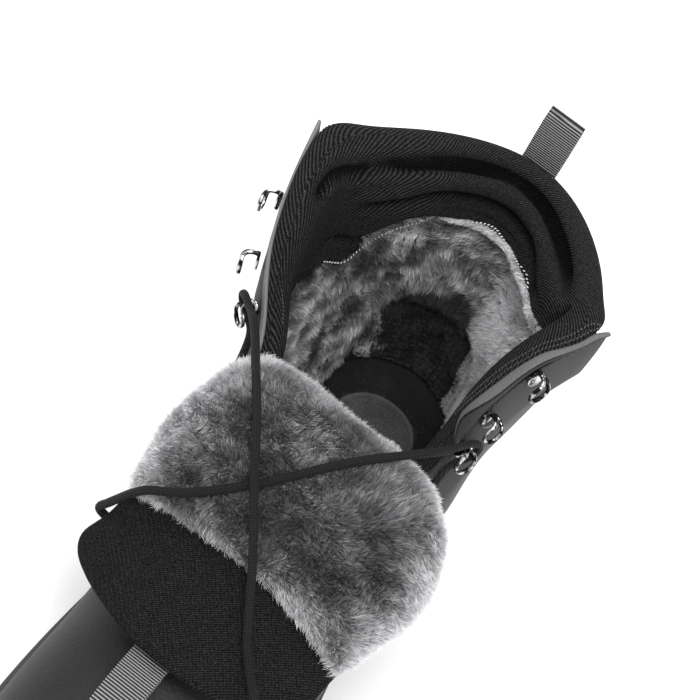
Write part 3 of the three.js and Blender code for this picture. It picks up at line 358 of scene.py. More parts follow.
finishes = {
    "upper": newMaterial("matteLeather", upperPaint, {"Specular IOR Level": 0.25}),
    "facingRight": newMaterial("facingLeather", facingPaint(-1.0, (0.05, 0.05, 0.05), 1.1),
                               {"Specular IOR Level": 0.2}),
    "facingLeft": newMaterial("facingCutEdge", facingPaint(2.6, (0.15, 0.15, 0.153), 3.4),
                              {"Specular IOR Level": 0.1}),
    "band": newMaterial("foldedLeather", bandPaint, {"Specular IOR Level": 0.3}),
    "leather": newMaterial("darkLeather", leatherPaint((0.018, 0.018, 0.0185), (0.03, 0.03, 0.031)),
                           {"Specular IOR Level": 0.3}),
    "knit": newMaterial("twillKnit", knitPaint(1.0, 0.072), {"Specular IOR Level": 0.12}),
    "flatKnit": newMaterial("tongueKnit", knitPaint(0.2, 0.04), {"Specular IOR Level": 0.1}),
    "pile": newMaterial("plushPile", pilePaint, {"Specular IOR Level": 0.3}),
    "backing": newMaterial("pileBacking", backingPaint),
    "webbing": newMaterial("ribbedWebbing", webbingPaint),
    "lace": newMaterial("braidedLace", lacePaint, {"Specular IOR Level": 0.3}),
    "metal": newMaterial("gunMetal", metalPaint, {"Metallic": 1.0}),
    "rubber": newMaterial("lugRubber", rubberPaint((0.012, 0.012, 0.012), (0.03, 0.03, 0.03))),
    "foam": newMaterial("midsoleFoam", rubberPaint((0.02, 0.02, 0.021), (0.045, 0.045, 0.046))),
    "felt": newMaterial("feltedFootbed", feltPaint),
    "grip": newMaterial("heelGrip", gripPaint),
    "thread": newMaterial("paleThread", rubberPaint((0.5, 0.5, 0.51), (0.8, 0.8, 0.81))),
    "chain": newMaterial("chainThread", rubberPaint((0.008, 0.008, 0.0085), (0.07, 0.07, 0.072))),
    "seam": newMaterial("darkThread", rubberPaint((0.012, 0.012, 0.0125), (0.035, 0.035, 0.036))),
}
print("materials")


# tools for meshes

def deselectAll():
    for thing in bpy.context.selected_objects:
        thing.select_set(False)
    bpy.context.view_layer.objects.active = None


def activate(piece):
    deselectAll()
    piece.select_set(True)
    bpy.context.view_layer.objects.active = piece


def copyNode(node, name):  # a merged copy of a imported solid, to be worked on as a piece of its own
    source = frame["nodes"][node]
    piece = bpy.data.objects.new(name, source.data.copy())
    bpy.context.scene.collection.objects.link(piece)
    activate(piece)
    bpy.ops.object.mode_set(mode="EDIT")
    bpy.ops.mesh.select_all(action="SELECT")
    bpy.ops.mesh.remove_doubles(threshold=0.00002)
    bpy.ops.mesh.tris_convert_to_quads(face_threshold=1.2, shape_threshold=1.2)
    bpy.ops.object.mode_set(mode="OBJECT")
    return piece


def applyModifier(piece, kind, **settings):
    activate(piece)
    modifier = piece.modifiers.new(kind.title(), kind)
    for key, value in settings.items():
        setattr(modifier, key, value)
    bpy.ops.object.modifier_apply(modifier=modifier.name)


# rounds a faceted solid, and keeps the edges that turn by more than a sharp angle
def smoothSolid(piece, levels, sharp, crease):
    activate(piece)
    bpy.ops.object.mode_set(mode="EDIT")
    bpy.ops.mesh.select_mode(type="EDGE")
    bpy.ops.mesh.select_all(action="DESELECT")
    bpy.ops.mesh.edges_select_sharp(sharpness=math.radians(sharp))
    bpy.ops.transform.edge_crease(value=crease)
    bpy.ops.object.mode_set(mode="OBJECT")
    applyModifier(piece, "SUBSURF", levels=levels, render_levels=levels)
    activate(piece)
    bpy.ops.object.shade_smooth_by_angle(angle=math.radians(40))


def dress(piece, finish, slot, *nodes):
    piece.data.materials.clear()
    piece.data.materials.append(finishes[finish])
    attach(piece, "root")
    if nodes:
        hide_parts(*nodes)


def verts(piece):
    places = np.empty(len(piece.data.vertices) * 3)
    piece.data.vertices.foreach_get("co", places)
    return places.reshape(-1, 3)


def setVerts(piece, places):
    piece.data.vertices.foreach_set("co", np.ascontiguousarray(places).ravel())
    piece.data.update()


def setSurfaceMap(piece, mapped, name="surface"):  # writes a UV map from a value for each vertex
    layer = piece.data.uv_layers.new(name=name)
    corners = np.empty(len(piece.data.loops), dtype=int)
    piece.data.loops.foreach_get("vertex_index", corners)
    layer.data.foreach_set("uv", np.ascontiguousarray(mapped[corners]).ravel())


stepsPerSpan = 12


# evenly spaced points on a smooth line through the given ones, and its length
def curvePoints(points, count):
    p = np.array(points, dtype=float)
    ends = np.vstack([2 * p[0] - p[1], p, 2 * p[-1] - p[-2]])
    fine = []
    for k in range(len(p) - 1):
        a, b, c, d = ends[k:k + 4]
        for t in np.linspace(0, 1, stepsPerSpan, endpoint=False):
            fine.append(0.5 * (2 * b + (c - a) * t + (2 * a - 5 * b + 4 * c - d) * t * t
                               + (3 * b - a - 3 * c + d) * t ** 3))
    fine = np.array(fine + [p[-1]])
    run = np.concatenate([[0], np.cumsum(np.linalg.norm(np.diff(fine, axis=0), axis=1))])
    even = np.linspace(0, run[-1], count)
    return np.stack([np.interp(even, run, fine[:, k]) for k in range(3)], 1), run[-1]


shaft = {"middle": (0.0, -0.005), "radius": 50, "sectors": 72}


# rows run level round the shaft, up the outside, over the crest and down the inside
def aroundMap(piece):
    p = verts(piece)
    sectors = shaft["sectors"]
    x, y, z = p[:, 0] - shaft["middle"][0], p[:, 1] - shaft["middle"][1], p[:, 2]
    r, angle = np.hypot(x, y), np.arctan2(x, y)
    sector = ((angle + math.pi) / (2 * math.pi) * sectors).astype(int) % sectors
    places, crestR, crestZ = [], [], []
    for k in range(sectors):
        own = np.flatnonzero(sector == k)
        if len(own):
            top = own[z[own].argmax()]
            places.append((k + 0.5) / sectors * 2 * math.pi - math.pi)
            crestR.append(r[top])
            crestZ.append(z[top])
    even = np.ones(7) / 7
    crestR, crestZ = (np.convolve(np.pad(c, 3, "edge"), even, "valid") for c in (crestR, crestZ))
    atR = np.interp(angle, places, crestR, period=2 * math.pi)
    atZ = np.interp(angle, places, crestZ, period=2 * math.pi)
    across = atR - r + np.where(r > atR, z - atZ, atZ - z)
    setSurfaceMap(piece, np.stack([angle * shaft["radius"], across * 1000], 1))


def planMap(piece):
    setSurfaceMap(piece, verts(piece)[:, :2] * 1000)


# upper, overlays and sole

# the edges of the throat, in millimetres
throatLines = {
    "right": [(3.6, -152.6, 86.7), (11.7, -148.7, 87.6), (18.2, -144.3, 88.9), (23, -136.8, 91.5),
              (26.2, -128.8, 94.5), (29.5, -117.4, 98.8), (31.9, -105.8, 103.4), (33.8, -94.4, 108.3),
              (34.8, -82.6, 113.5), (35.4, -70.8, 119.1), (36.1, -62.2, 124.1), (36.5, -57.7, 128.9),
              (37.3, -51.8, 138.1), (39.3, -43.6, 148.4), (43.4, -32, 159.4), (51, -19.1, 167),
              (56.6, -9.8, 172.1)],
    "left": [(3.6, -152.6, 86.7), (-4.6, -148.8, 87.6), (-11.2, -144.3, 88.8), (-16.5, -136.9, 91.4),
             (-20.2, -128.9, 94.4), (-24.6, -117.5, 98.7), (-28.4, -105.9, 103.2), (-31.8, -94.6, 108),
             (-35.2, -82.8, 113.1), (-39, -71, 118.7), (-42.7, -62.5, 123.6), (-46.5, -58.1, 128.4),
             (-55.2, -52.1, 137.6), (-61.2, -43.5, 148), (-66.3, -31.5, 159), (-69.6, -18.4, 166.6),
             (-71.7, -9, 171.7)],
}
leatherPieces = {
    "upper": {"finish": "upper", "sharp": 70, "crease": 0.9, "levels": 2},
    "eyestay_right": {"finish": "facingRight", "sharp": 50, "crease": 0.9, "levels": 2},
    "eyestay_left": {"finish": "facingLeft", "sharp": 50, "crease": 0.9, "levels": 2},
    "backstay": {"finish": "leather", "sharp": 50, "crease": 0.9, "levels": 2},
}


def edgeMap(piece, side, steps=160):
    p = verts(piece) * 1000
    line, run = curvePoints(throatLines[side], steps)
    gap = np.linalg.norm(p[:, None] - line[None], axis=2)
    nearest = gap.argmin(1)
    setSurfaceMap(piece, np.stack([nearest * run / (steps - 1), gap.min(1)], 1))


for node, shape in leatherPieces.items():
    piece = copyNode(node, node + "_leather")
    smoothSolid(piece, shape["levels"], shape["sharp"], shape["crease"])
    if node.startswith("eyestay"):
        edgeMap(piece, node.split("_")[1])
    dress(piece, shape["finish"], "leather", node)

for node, finish, slot in (("midsole", "foam", "midsole_foam"), ("outsole", "rubber", "rubber"),
                           ("insole", "felt", "footbed"), ("heel_lining", "grip", "heel_grip")):
    piece = copyNode(node, node + "_dressed")
    if node == "outsole":
        applyModifier(piece, "BEVEL", width=0.0006, segments=2, limit_method="ANGLE", angle_limit=math.radians(35))
        activate(piece)
        bpy.ops.object.shade_smooth_by_angle(angle=math.radians(30))
    else:
        smoothSolid(piece, 2, 35, 0.7)
    dress(piece, finish, slot, node)
print("upper and sole")

# padded knit

# deep creases between the rolls of the collar, in millimetres: the outer, the inner and a pinch at the left flap
collarCreases = [
    {"depth": 4.4, "width": 2.3, "line": [(-46.7, -7.5, 165.3), (-42.6, -2.1, 166.1), (-37.4, 2.4, 166.4),
                                          (-27.7, 11.7, 168.1), (-16.9, 19.9, 168.6), (-4.8, 26.1, 167.9),
                                          (8.3, 23.9, 168.2), (20.4, 15.4, 168.6), (31, 5.1, 168), (36, -3, 167)]},
    {"depth": 4.0, "width": 2.2, "line": [(-42.9, -10.5, 146), (-36, -5.8, 150.1), (-30.2, 0, 153.5),
                                          (-22.3, 5.6, 159), (-14.1, 11.2, 160.9), (-4.9, 15.6, 161.2),
                                          (4.9, 15.5, 161), (14.2, 10, 161.2), (21.5, 5, 157), (25, 1, 152)]},
    {"depth": 3.4, "width": 2.6, "line": [(-54.5, -27, 156), (-54.5, -24.9, 161.2), (-54.4, -19, 163.6),
                                          (-51, -11.2, 162), (-46.7, -7.5, 165.3)]},
]


# presses the creases into the mesh and returns the painted shade that darkens the knit in them
def pressCreases(piece, creases, steps=90, batch=4000):
    p = verts(piece)
    n = np.empty(p.size)
    piece.data.vertices.foreach_get("normal", n)
    n = n.reshape(-1, 3)
    moved, creaseShade = p.copy(), np.zeros(len(p))
    for crease in creases:
        line, _ = curvePoints(np.array(crease["line"]) / 1000, steps)
        taper = np.clip(np.minimum(np.arange(steps), steps - 1 - np.arange(steps)) / 12 + 0.15, 0, 1)
        for start in range(0, len(p), batch):
            part = slice(start, start + batch)
            gap = np.linalg.norm(p[part, None] - line[None], axis=2)
            near = gap.argmin(1)
            away = gap.min(1) * 1000 / crease["width"]
            push = crease["depth"] * taper[near] * (np.exp(-away ** 2) - 0.3 * np.exp(-((away - 2.4) / 1.2) ** 2))
            moved[part] -= n[part] * (push / 1000)[:, None]
            # painted shade, strongest along the middle of each crease
            creaseShade[part] = np.maximum(creaseShade[part], taper[near] * np.exp(-(away / 0.7) ** 2))
    setVerts(piece, moved)
    return creaseShade


collarKnit = copyNode("collar", "collar_knit")
smoothSolid(collarKnit, 3, 100, 0.5)
creaseShade = pressCreases(collarKnit, collarCreases)
aroundMap(collarKnit)
# the creases map carries the painted shade of the creases
setSurfaceMap(collarKnit, np.stack([creaseShade, creaseShade], 1), "creases")
dress(collarKnit, "knit", "knit", "collar")

tongueKnit = copyNode("tongue", "tongue_knit")
smoothSolid(tongueKnit, 2, 100, 0.5)
planMap(tongueKnit)
dress(tongueKnit, "flatKnit", "knit", "tongue")
print("knit")

# stitches and folded edges

deselectAll()
bpy.ops.mesh.primitive_uv_sphere_add(segments=6, ring_count=4, radius=0.5)
beadObject = bpy.context.active_object
beadPlaces = verts(beadObject)
beadFaces = [tuple(face.vertices) for face in beadObject.data.polygons]
bpy.data.objects.remove(beadObject)


def surfaceOf(*pieces):
    places, faces = [], []
    for piece in pieces:
        faces += [tuple(v + len(places) for v in face.vertices) for face in piece.data.polygons]
        places += [vertex.co.copy() for vertex in piece.data.vertices]
    return BVHTree.FromPolygons(places, faces)


# each stitch is as long, wide and high as its size, in metres
stitches = {
    "seam": {"spacing": 0.0026, "size": (0.002, 0.0007, 0.0006), "slant": 0.0, "lift": 0.0, "finish": "seam",
             "slot": "leather"},
    "chain": {"spacing": 0.0014, "size": (0.0013, 0.0006, 0.0005), "slant": 0.5, "lift": 0.0, "finish": "chain",
              "slot": "knit"},
    "overlock": {"spacing": 0.0015, "size": (0.0012, 0.0005, 0.0005), "slant": 0.6, "lift": 0.0012,
                 "finish": "thread", "slot": "fleece"},
}
seatReach = 0.006


# a row of small beads seated on a surface along a line in metres
def stitchRow(name, surface, line, kind):
    look = stitches[kind]
    size, cosine, sine = look["size"], math.cos(look["slant"]), math.sin(look["slant"])
    _, run = curvePoints(line, 40)
    seats, _ = curvePoints(line, max(3, int(run / look["spacing"])))
    ways = np.gradient(seats, axis=0)
    places, faces = [], []
    for seat, way in zip(seats, ways):
        spot, normal, _, gap = surface.find_nearest(Vector(seat))
        if spot is None or gap > seatReach:
            continue
        along = Vector(way) - normal * normal.dot(Vector(way))
        along.normalize()
        side = normal.cross(along)
        along, side = along * cosine + side * sine, side * cosine - along * sine
        turn = np.array([along * size[0], side * size[1], normal * size[2]])
        faces += [tuple(v + len(places) * len(beadPlaces) for v in face) for face in beadFaces]
        places.append(beadPlaces @ turn + np.array(spot + normal * (size[2] * 0.2 + look["lift"])))
    mesh = bpy.data.meshes.new(name)
    mesh.from_pydata([tuple(v) for v in np.concatenate(places)], [], faces)
    piece = bpy.data.objects.new(name, mesh)
    bpy.context.scene.collection.objects.link(piece)
    activate(piece)
    bpy.ops.object.shade_smooth()
    dress(piece, look["finish"], look["slot"])


# the inner line of the folded edge of the right flap, in millimetres, and the way that it bulges
bandInner = [(56.2, -10.2, 172.9), (52.6, -13.1, 171.1), (50, -18.1, 168), (46.4, -22.6, 165.5),
             (42.4, -26.6, 162.7), (39.6, -31.1, 159.3), (37.3, -34.9, 154.6), (35.5, -38.9, 149.9),
             (33.6, -42.9, 145.1), (31.9, -46.2, 139.3), (30.7, -49.1, 132.7), (30.3, -53.1, 127.4)]
bandView = Vector((0.45, -0.6, 0.65)).normalized()
bandTaper = {"start": 0.84, "share": 0.16}


def foldedBand(name, inner, outer, thickness, steps=64):
    deselectAll()
    bpy.ops.mesh.primitive_grid_add(x_subdivisions=6, y_subdivisions=steps, size=1)
    piece = bpy.context.active_object
    piece.name = name
    p = verts(piece)
    row = np.rint((p[:, 1] + 0.5) * steps).astype(int)
    across = p[:, 0] + 0.5
    first, _ = curvePoints(inner, steps + 1)
    dense, _ = curvePoints(outer, 400)
    nearest = np.linalg.norm(first[:, None] - dense[None], axis=2).argmin(1)
    second = dense[nearest]
    ending = np.clip((np.linspace(0, 1, steps + 1) - bandTaper["start"]) / bandTaper["share"], 0, 1)[:, None] ** 2
    first = first + (second - first) * ending * 0.9
    lift = np.sin(np.pi * np.clip(across, 0, 1)) ** 0.6
    places = first[row] * (1 - across)[:, None] + second[row] * across[:, None]
    places += np.array(bandView)[None] * (0.0004 + thickness * lift)[:, None]
    setVerts(piece, places)
    run = np.concatenate([[0], np.cumsum(np.linalg.norm(np.diff(first, axis=0), axis=1))]) * 1000
    piece.data.uv_layers.remove(piece.data.uv_layers[0])
    setSurfaceMap(piece, np.stack([run[row], across * 10], 1))
    applyModifier(piece, "SOLIDIFY", thickness=0.0012, offset=0)
    applyModifier(piece, "SUBSURF", levels=1, render_levels=1)
    activate(piece)
    bpy.ops.object.shade_smooth()
    return piece


bandOuter = np.array(throatLines["right"][10:]) / 1000
flapBand = foldedBand("flap_band_right", np.array(bandInner) / 1000, bandOuter, 0.0011)
dress(flapBand, "band", "leather")

# how far each row lies from its line, in metres
rowShifts = {"right": (0.0018, 0.0042), "left": (0.003, 0.0058), "band": np.array((0.0006, -0.0006, -0.001)),
             "vamp": (-0.0022, 0.0018, 0.0042), "top": (0.003, 0.0055)}
byName = bpy.data.objects
collarSurface = surfaceOf(collarKnit)
upperSurface = surfaceOf(byName["upper_leather"])
flapLine = np.array(bandInner[:-1]) / 1000
throatDense, _ = curvePoints(np.array(throatLines["right"]) / 1000, 300)
flapAway = flapLine - throatDense[np.linalg.norm(flapLine[:, None] - throatDense[None], axis=2).argmin(1)]
flapAway /= np.maximum(np.linalg.norm(flapAway, axis=1), 1e-9)[:, None]
flapAway[0] = flapAway[1]
for n, gap in enumerate(rowShifts["right"]):
    stitchRow(f"flap_right_row_{n + 1}", collarSurface, flapLine + flapAway * gap, "chain")
leftLine = np.array(throatLines["left"][10:]) / 1000
leftIn = -leftLine * (1, 1, 0)
leftIn /= np.linalg.norm(leftIn, axis=1)[:, None]
for n, gap in enumerate(rowShifts["left"]):
    stitchRow(f"flap_left_row_{n + 1}", collarSurface, leftLine + leftIn * gap, "chain")
stitchRow("flap_band_row", surfaceOf(byName["eyestay_right_leather"]), bandOuter[1:-1] + rowShifts["band"], "seam")


# where rays from outside meet a surface
def outsideLine(surface, middle, ways, reach=0.25):
    found = []
    for way in ways:
        way = Vector(way).normalized()
        spot, _, _, _ = surface.ray_cast(Vector(middle) + way * reach, -way)
        if spot is not None:
            found.append(tuple(spot))
    return np.array(found)


height = 0.05
_, back, up = vampSeam["up"]
ways = [(math.cos(t), math.sin(t) * back, math.sin(t) * up) for t in np.radians(np.linspace(-22, 202, 90))]
for n, shift in enumerate(rowShifts["vamp"]):
    middle = (0, -vampSeam["place"] - vampSeam["slope"] * height + shift, height)
    stitchRow(f"vamp_row_{n + 1}", upperSurface, outsideLine(upperSurface, middle, ways), "seam")
topLines = {"right": [(55, -9.2, 172), (52.4, -5.3, 169.1), (49.5, -1.1, 166.5), (45.7, 4.6, 164.7),
                      (41, 10.8, 163.4), (35.2, 16.6, 162.4), (28.5, 22.1, 161.7), (21.4, 27.5, 161.2),
                      (14, 31.7, 160.8)],
            "left": [(-70, -9.2, 172), (-65.2, -5.3, 169.1), (-60, -1.1, 166.5), (-53.9, 4.6, 164.7),
                     (-47, 10.8, 163.4), (-39.3, 16.6, 162.4), (-31, 22.1, 161.7), (-22.4, 27.5, 161.2),
                     (-14, 31.7, 160.8)]}
for side, line in topLines.items():
    for n, drop in enumerate(rowShifts["top"]):
        stitchRow(f"top_{side}_row_{n + 1}", upperSurface, np.array(line) / 1000 - (0, 0, drop), "seam")
print("stitches")

# fleece

pileLook = {
    "tongue": {"locks": 52000, "down": 300000, "length": 0.005, "width": 0.00028, "clump": 0.0028, "pull": 0.36,
               "lean": 0.36},
    "lining": {"locks": 40000, "down": 180000, "length": 0.0048, "width": 0.0003, "clump": 0.0034, "pull": 0.5,
               "lean": 0.5},
    "collar": {"locks": 9000, "down": 50000, "length": 0.0042, "width": 0.0003, "clump": 0.0034, "pull": 0.5,
               "lean": 0.5},
    "insole": {"locks": 0, "down": 48000, "length": 0.0022, "width": 0.0003, "clump": 0.003, "pull": 0.3, "lean": 0.9},
    "heel": {"locks": 6000, "down": 50000, "length": 0.003, "width": 0.0003, "clump": 0.003, "pull": 0.6, "lean": 0.6},
}


def waves(points, scale, seed, count=7):  # a smooth uneven field of three values over space
    chance = np.random.default_rng(seed)
    out = np.zeros((len(points), 3))
    for _ in range(count):
        way = chance.normal(size=(3, 3)) * scale
        phase = chance.uniform(0, 2 * math.pi, 3)
        out += np.sin(points @ way.T + phase)
    return out / math.sqrt(count)


def sampleFaces(piece, count, seed, keep=None):
    mesh = piece.data
    mesh.calc_loop_triangles()
    p = verts(piece)
    tris = np.array([t.vertices[:] for t in mesh.loop_triangles])
    a, b, c = p[tris[:, 0]], p[tris[:, 1]], p[tris[:, 2]]
    normal = np.cross(b - a, c - a)
    area = np.linalg.norm(normal, axis=1)
    normal = normal / np.maximum(area, 1e-12)[:, None]
    chosen = area > 0
    if keep is not None:
        chosen &= keep((a + b + c) / 3, normal)
    share = np.where(chosen, area, 0)
    chance = np.random.default_rng(seed)
    pick = chance.choice(len(tris), size=count, p=share / share.sum())
    u, v = chance.uniform(size=count), chance.uniform(size=count)
    flip = u + v > 1
    u[flip], v[flip] = 1 - u[flip], 1 - v[flip]
    vertexNormal = np.empty(len(p) * 3)
    mesh.vertices.foreach_get("normal", vertexNormal)
    vertexNormal = vertexNormal.reshape(-1, 3)
    w = 1 - u - v
    root = a[pick] * w[:, None] + b[pick] * u[:, None] + c[pick] * v[:, None]
    n = (vertexNormal[tris[pick, 0]] * w[:, None] + vertexNormal[tris[pick, 1]] * u[:, None]
         + vertexNormal[tris[pick, 2]] * v[:, None])
    return root, n / np.linalg.norm(n, axis=1)[:, None]


# tapered blades as one mesh: locks are bent once, the down between them is straight
def growPile(name, root, normal, look, seed, tone, bent):
    count = len(root)
    chance = np.random.default_rng(seed + 100)
    comb = waves(root, 110, seed) * look["lean"] + waves(root, 420, seed + 1) * look["lean"] * 0.6
    comb += chance.normal(size=(count, 3)) * 0.2
    comb -= normal * np.sum(comb * normal, 1)[:, None]
    length = look["length"] * chance.uniform(0.7, 1.1, count) * (1.0 if bent else 0.8)
    way = normal + comb
    way /= np.linalg.norm(way, axis=1)[:, None]
    tip = root + way * length[:, None]
    cell = np.floor(root / look["clump"]).astype(int)
    _, group = np.unique(cell, axis=0, return_inverse=True)
    group = group.ravel()
    members = np.bincount(group)
    centre = np.stack([np.bincount(group, tip[:, k]) / members for k in range(3)], 1)
    tip += (centre[group] - tip) * (look["pull"] * chance.uniform(0.4, 1.2, count))[:, None]
    flat = np.cross(way, chance.normal(size=(count, 3)))
    flat /= np.maximum(np.linalg.norm(flat, axis=1), 1e-9)[:, None]
    half = (look["width"] * chance.uniform(0.6, 1.2, count) / 2)[:, None]
    if bent:
        middle = root + normal * (length * 0.45)[:, None] + (tip - root) * 0.12
        sides = [root - flat * half, root + flat * half, middle - flat * half * 0.8, middle + flat * half * 0.8, tip]
        corners, sizes, rise = [0, 1, 3, 2, 2, 3, 4], [4, 3], [0.0, 0.0, 0.5, 0.5, 0.5, 0.5, 1.0]
    else:
        sides = [root - flat * half, root + flat * half, tip]
        corners, sizes, rise = [0, 1, 2], [3], [0.0, 0.0, 0.9]
    points = np.stack(sides, 1).reshape(-1, 3)
    loops = (np.arange(count)[:, None] * len(sides) + np.array(corners)[None]).ravel()
    sizes = np.tile(sizes, count)
    mesh = bpy.data.meshes.new(name)
    mesh.vertices.add(len(points))
    mesh.vertices.foreach_set("co", points.ravel())
    mesh.loops.add(len(loops))
    mesh.loops.foreach_set("vertex_index", loops)
    mesh.polygons.add(len(sizes))
    mesh.polygons.foreach_set("loop_start", np.concatenate([[0], np.cumsum(sizes)[:-1]]))
    mesh.polygons.foreach_set("loop_total", sizes)
    mesh.update(calc_edges=True)
    shade = np.repeat(np.clip(tone + chance.normal(size=count) * 0.09, 0, 1), len(corners))
    layer = mesh.uv_layers.new(name="surface")
    layer.data.foreach_set("uv", np.stack([shade, np.tile(rise, count)], 1).ravel())
    mesh.polygons.foreach_set("use_smooth", np.ones(len(sizes), dtype=bool))
    piece = bpy.data.objects.new(name, mesh)
    bpy.context.scene.collection.objects.link(piece)
    return piece


rootDepth = 0.0008


def splitPile(base, node, look, keep, toneAt, split):
    for kind, parts, bent in (("locks", 1, True), ("down", split, False)):
        count = look[kind] // 1
        for n in range(parts if count else 0):
            root, normal = sampleFaces(base, count // parts, 40 + n, keep)
            pile = growPile(f"{node}_{kind}_{n + 1}", root - normal * rootDepth, normal, look, 7, toneAt(root), bent)
            dress(pile, "pile", "fleece")


# the pile of the tongue is pale along its borders and dark where it is pressed
def tongueTone(root):
    x, y = root[:, 0], root[:, 1]
    rows = ((y - y.min()) / 0.004).astype(int)
    low = np.full(rows.max() + 1, np.inf)
    high = np.full(rows.max() + 1, -np.inf)
    np.minimum.at(low, rows, x)
    np.maximum.at(high, rows, x)
    border = np.minimum(np.minimum(x - low[rows], high[rows] - x), np.minimum(y.max() - y, y - y.min() + 0.002))
    pale = 1 - np.clip(border / 0.017, 0, 1)
    mottle = waves(root, 190, 5)[:, 0] * 0.1 + waves(root, 520, 6)[:, 1] * 0.06
    return 0.36 + 0.5 * pale ** 1.2 + mottle * (1 - 0.5 * pale)


# where the pile ends on the lining and on the padded collar, and where it turns black at the heel
pileTop = {"angle": [-150, -125, -121, -103, -96, -94, -91, -89, -85, -80, -74, 69, 82, 100, 130],
           "height": [128, 130, 117, 117, 114, 115, 118, 120.5, 126, 132, 155, 155, 152, 150, 140]}
lipTop = {"angle": [-62, -56, -49, -35, -21, 2, 31, 63, 80, 100],
          "height": [138, 143, 148.7, 151.5, 152.8, 152.7, 152.9, 153.7, 150, 150]}
heelTop = {"angle": [-180, -52, -50, -40, -25, -10, 5, 16, 27, 31, 180],
           "height": [0, 0, 90, 96, 99.6, 103, 108, 108, 98, 0, 0]}


def roundShaft(root):
    return np.degrees(np.arctan2(root[:, 0] - shaft["middle"][0], root[:, 1] - shaft["middle"][1]))


def belowTop(root, top=pileTop):
    return np.interp(roundShaft(root), top["angle"], top["height"]) / 1000 - root[:, 2]


# the pile of the shaft is pale along its top, painted lighter on the right side, which faces the key light, mottled
# below with painted shade along a fold, and black at the heel
def liningTone(root):
    angle, high = roundShaft(root), root[:, 2] * 1000
    below = belowTop(root, lipTop)
    pale = 1 - np.clip(below / 0.02, 0, 1)
    paintedLightRight = np.clip((angle - 24) / 12, 0, 1)
    # painted light: the right side of the shaft faces the key light
    uneven = waves(root, 700, 12)[:, 0]
    left = np.interp(high, [35, 56, 73, 90], [-32, -37, -45, -51]) + uneven * 2
    depth = np.interp(angle, heelTop["angle"], heelTop["height"]) + uneven * 1.2 - high
    black = np.clip(depth / 3, 0, 1) * (angle > left) * (angle < 30 + uneven * 2)
    mottle = waves(root, 260, 8)[:, 0] * 0.17 + waves(root, 560, 9)[:, 1] * 0.1
    # painted shade along a fold below the top
    foldShade = np.exp(-((below - 0.023) / 0.006) ** 2) * 0.2
    bright = np.maximum(pale * 0.55, paintedLightRight * np.clip(below / 0.008 + 0.25, 0, 1))
    tone = 0.48 + 0.36 * bright + (mottle - foldShade) * (1 - 0.85 * bright)
    tufts = np.clip(waves(root, 420, 14)[:, 2] - 1.0, 0, 1) * 0.5
    return tone * (1 - black) + black * (tufts - 0.05)


knitReach = 0.0022  # the knit ends this far below the top of the pile
pileReach = 0.0005  # and the pile starts this far below it

tongueBase = copyNode("tongue_fleece", "tongue_fleece_base")
smoothSolid(tongueBase, 1, 100, 0.3)
dress(tongueBase, "backing", "fleece", "tongue_fleece")
splitPile(tongueBase, "tongue_pile", pileLook["tongue"], lambda c, n: n[:, 2] > -0.6, tongueTone, 2)

liningBase = copyNode("fleece_lining", "fleece_lining_base")
smoothSolid(liningBase, 2, 100, 0.3)
aroundMap(liningBase)
dress(liningBase, "backing", "fleece", "fleece_lining")
liningBase.data.materials.append(finishes["knit"])
centres = np.empty(len(liningBase.data.polygons) * 3)
liningBase.data.polygons.foreach_get("center", centres)
bare = belowTop(centres.reshape(-1, 3)) < knitReach
liningBase.data.polygons.foreach_set("material_index", bare.astype(np.int32))


def facesShaft(c, n):
    return (n[:, 0] * -c[:, 0] + n[:, 1] * (-0.01 - c[:, 1])) > 0


splitPile(liningBase, "lining_pile", pileLook["lining"], lambda c, n: facesShaft(c, n) & (belowTop(c) > pileReach),
          liningTone, 1)
splitPile(collarKnit, "collar_pile", pileLook["collar"],
          lambda c, n: facesShaft(c, n) & (belowTop(c, lipTop) > pileReach) & (np.abs(roundShaft(c) - 20) < 80),
          liningTone, 1)
heelBase = byName["heel_lining_dressed"]
splitPile(heelBase, "heel_pile", pileLook["heel"], facesShaft, liningTone, 1)


# the footbed's short pile is black round a paler disc
def footbedTone(root):
    x, y = root[:, 0] - footbedDisc["middle"][0], root[:, 1] - footbedDisc["middle"][1]
    away = np.sqrt(x ** 2 / footbedDisc["spread"][0] + y ** 2 / footbedDisc["spread"][1])
    rim = np.exp(-((away - 0.93) / 0.06) ** 2)
    return 0.14 + 0.14 * (away < 1) + 0.12 * rim + waves(root, 330, 15)[:, 0] * 0.13


splitPile(byName["insole_dressed"], "insole_pile", pileLook["insole"], lambda c, n: n[:, 2] > 0.3, footbedTone, 1)

# overlocked edge of the pile
pileEdge = [(-45.4, -16.8, 117.7), (-42.5, -11.5, 115), (-40, -7.7, 115), (-38.3, -4, 120), (-35.6, 0.2, 126),
            (-32.5, 3.6, 131), (-28.7, 6.4, 135), (-24.4, 9.5, 139), (-20, 9.3, 144.5), (-15.3, 8.5, 148.7),
            (-6.9, 13.1, 152.8), (0.9, 15.8, 152.7), (9.9, 11.5, 152.7), (19.6, 5.1, 153.7), (25.5, -0.3, 149.9)]
stitchRow("pile_edge_row", surfaceOf(liningBase, collarKnit), np.array(pileEdge) / 1000, "overlock")
print("fleece")

# cords

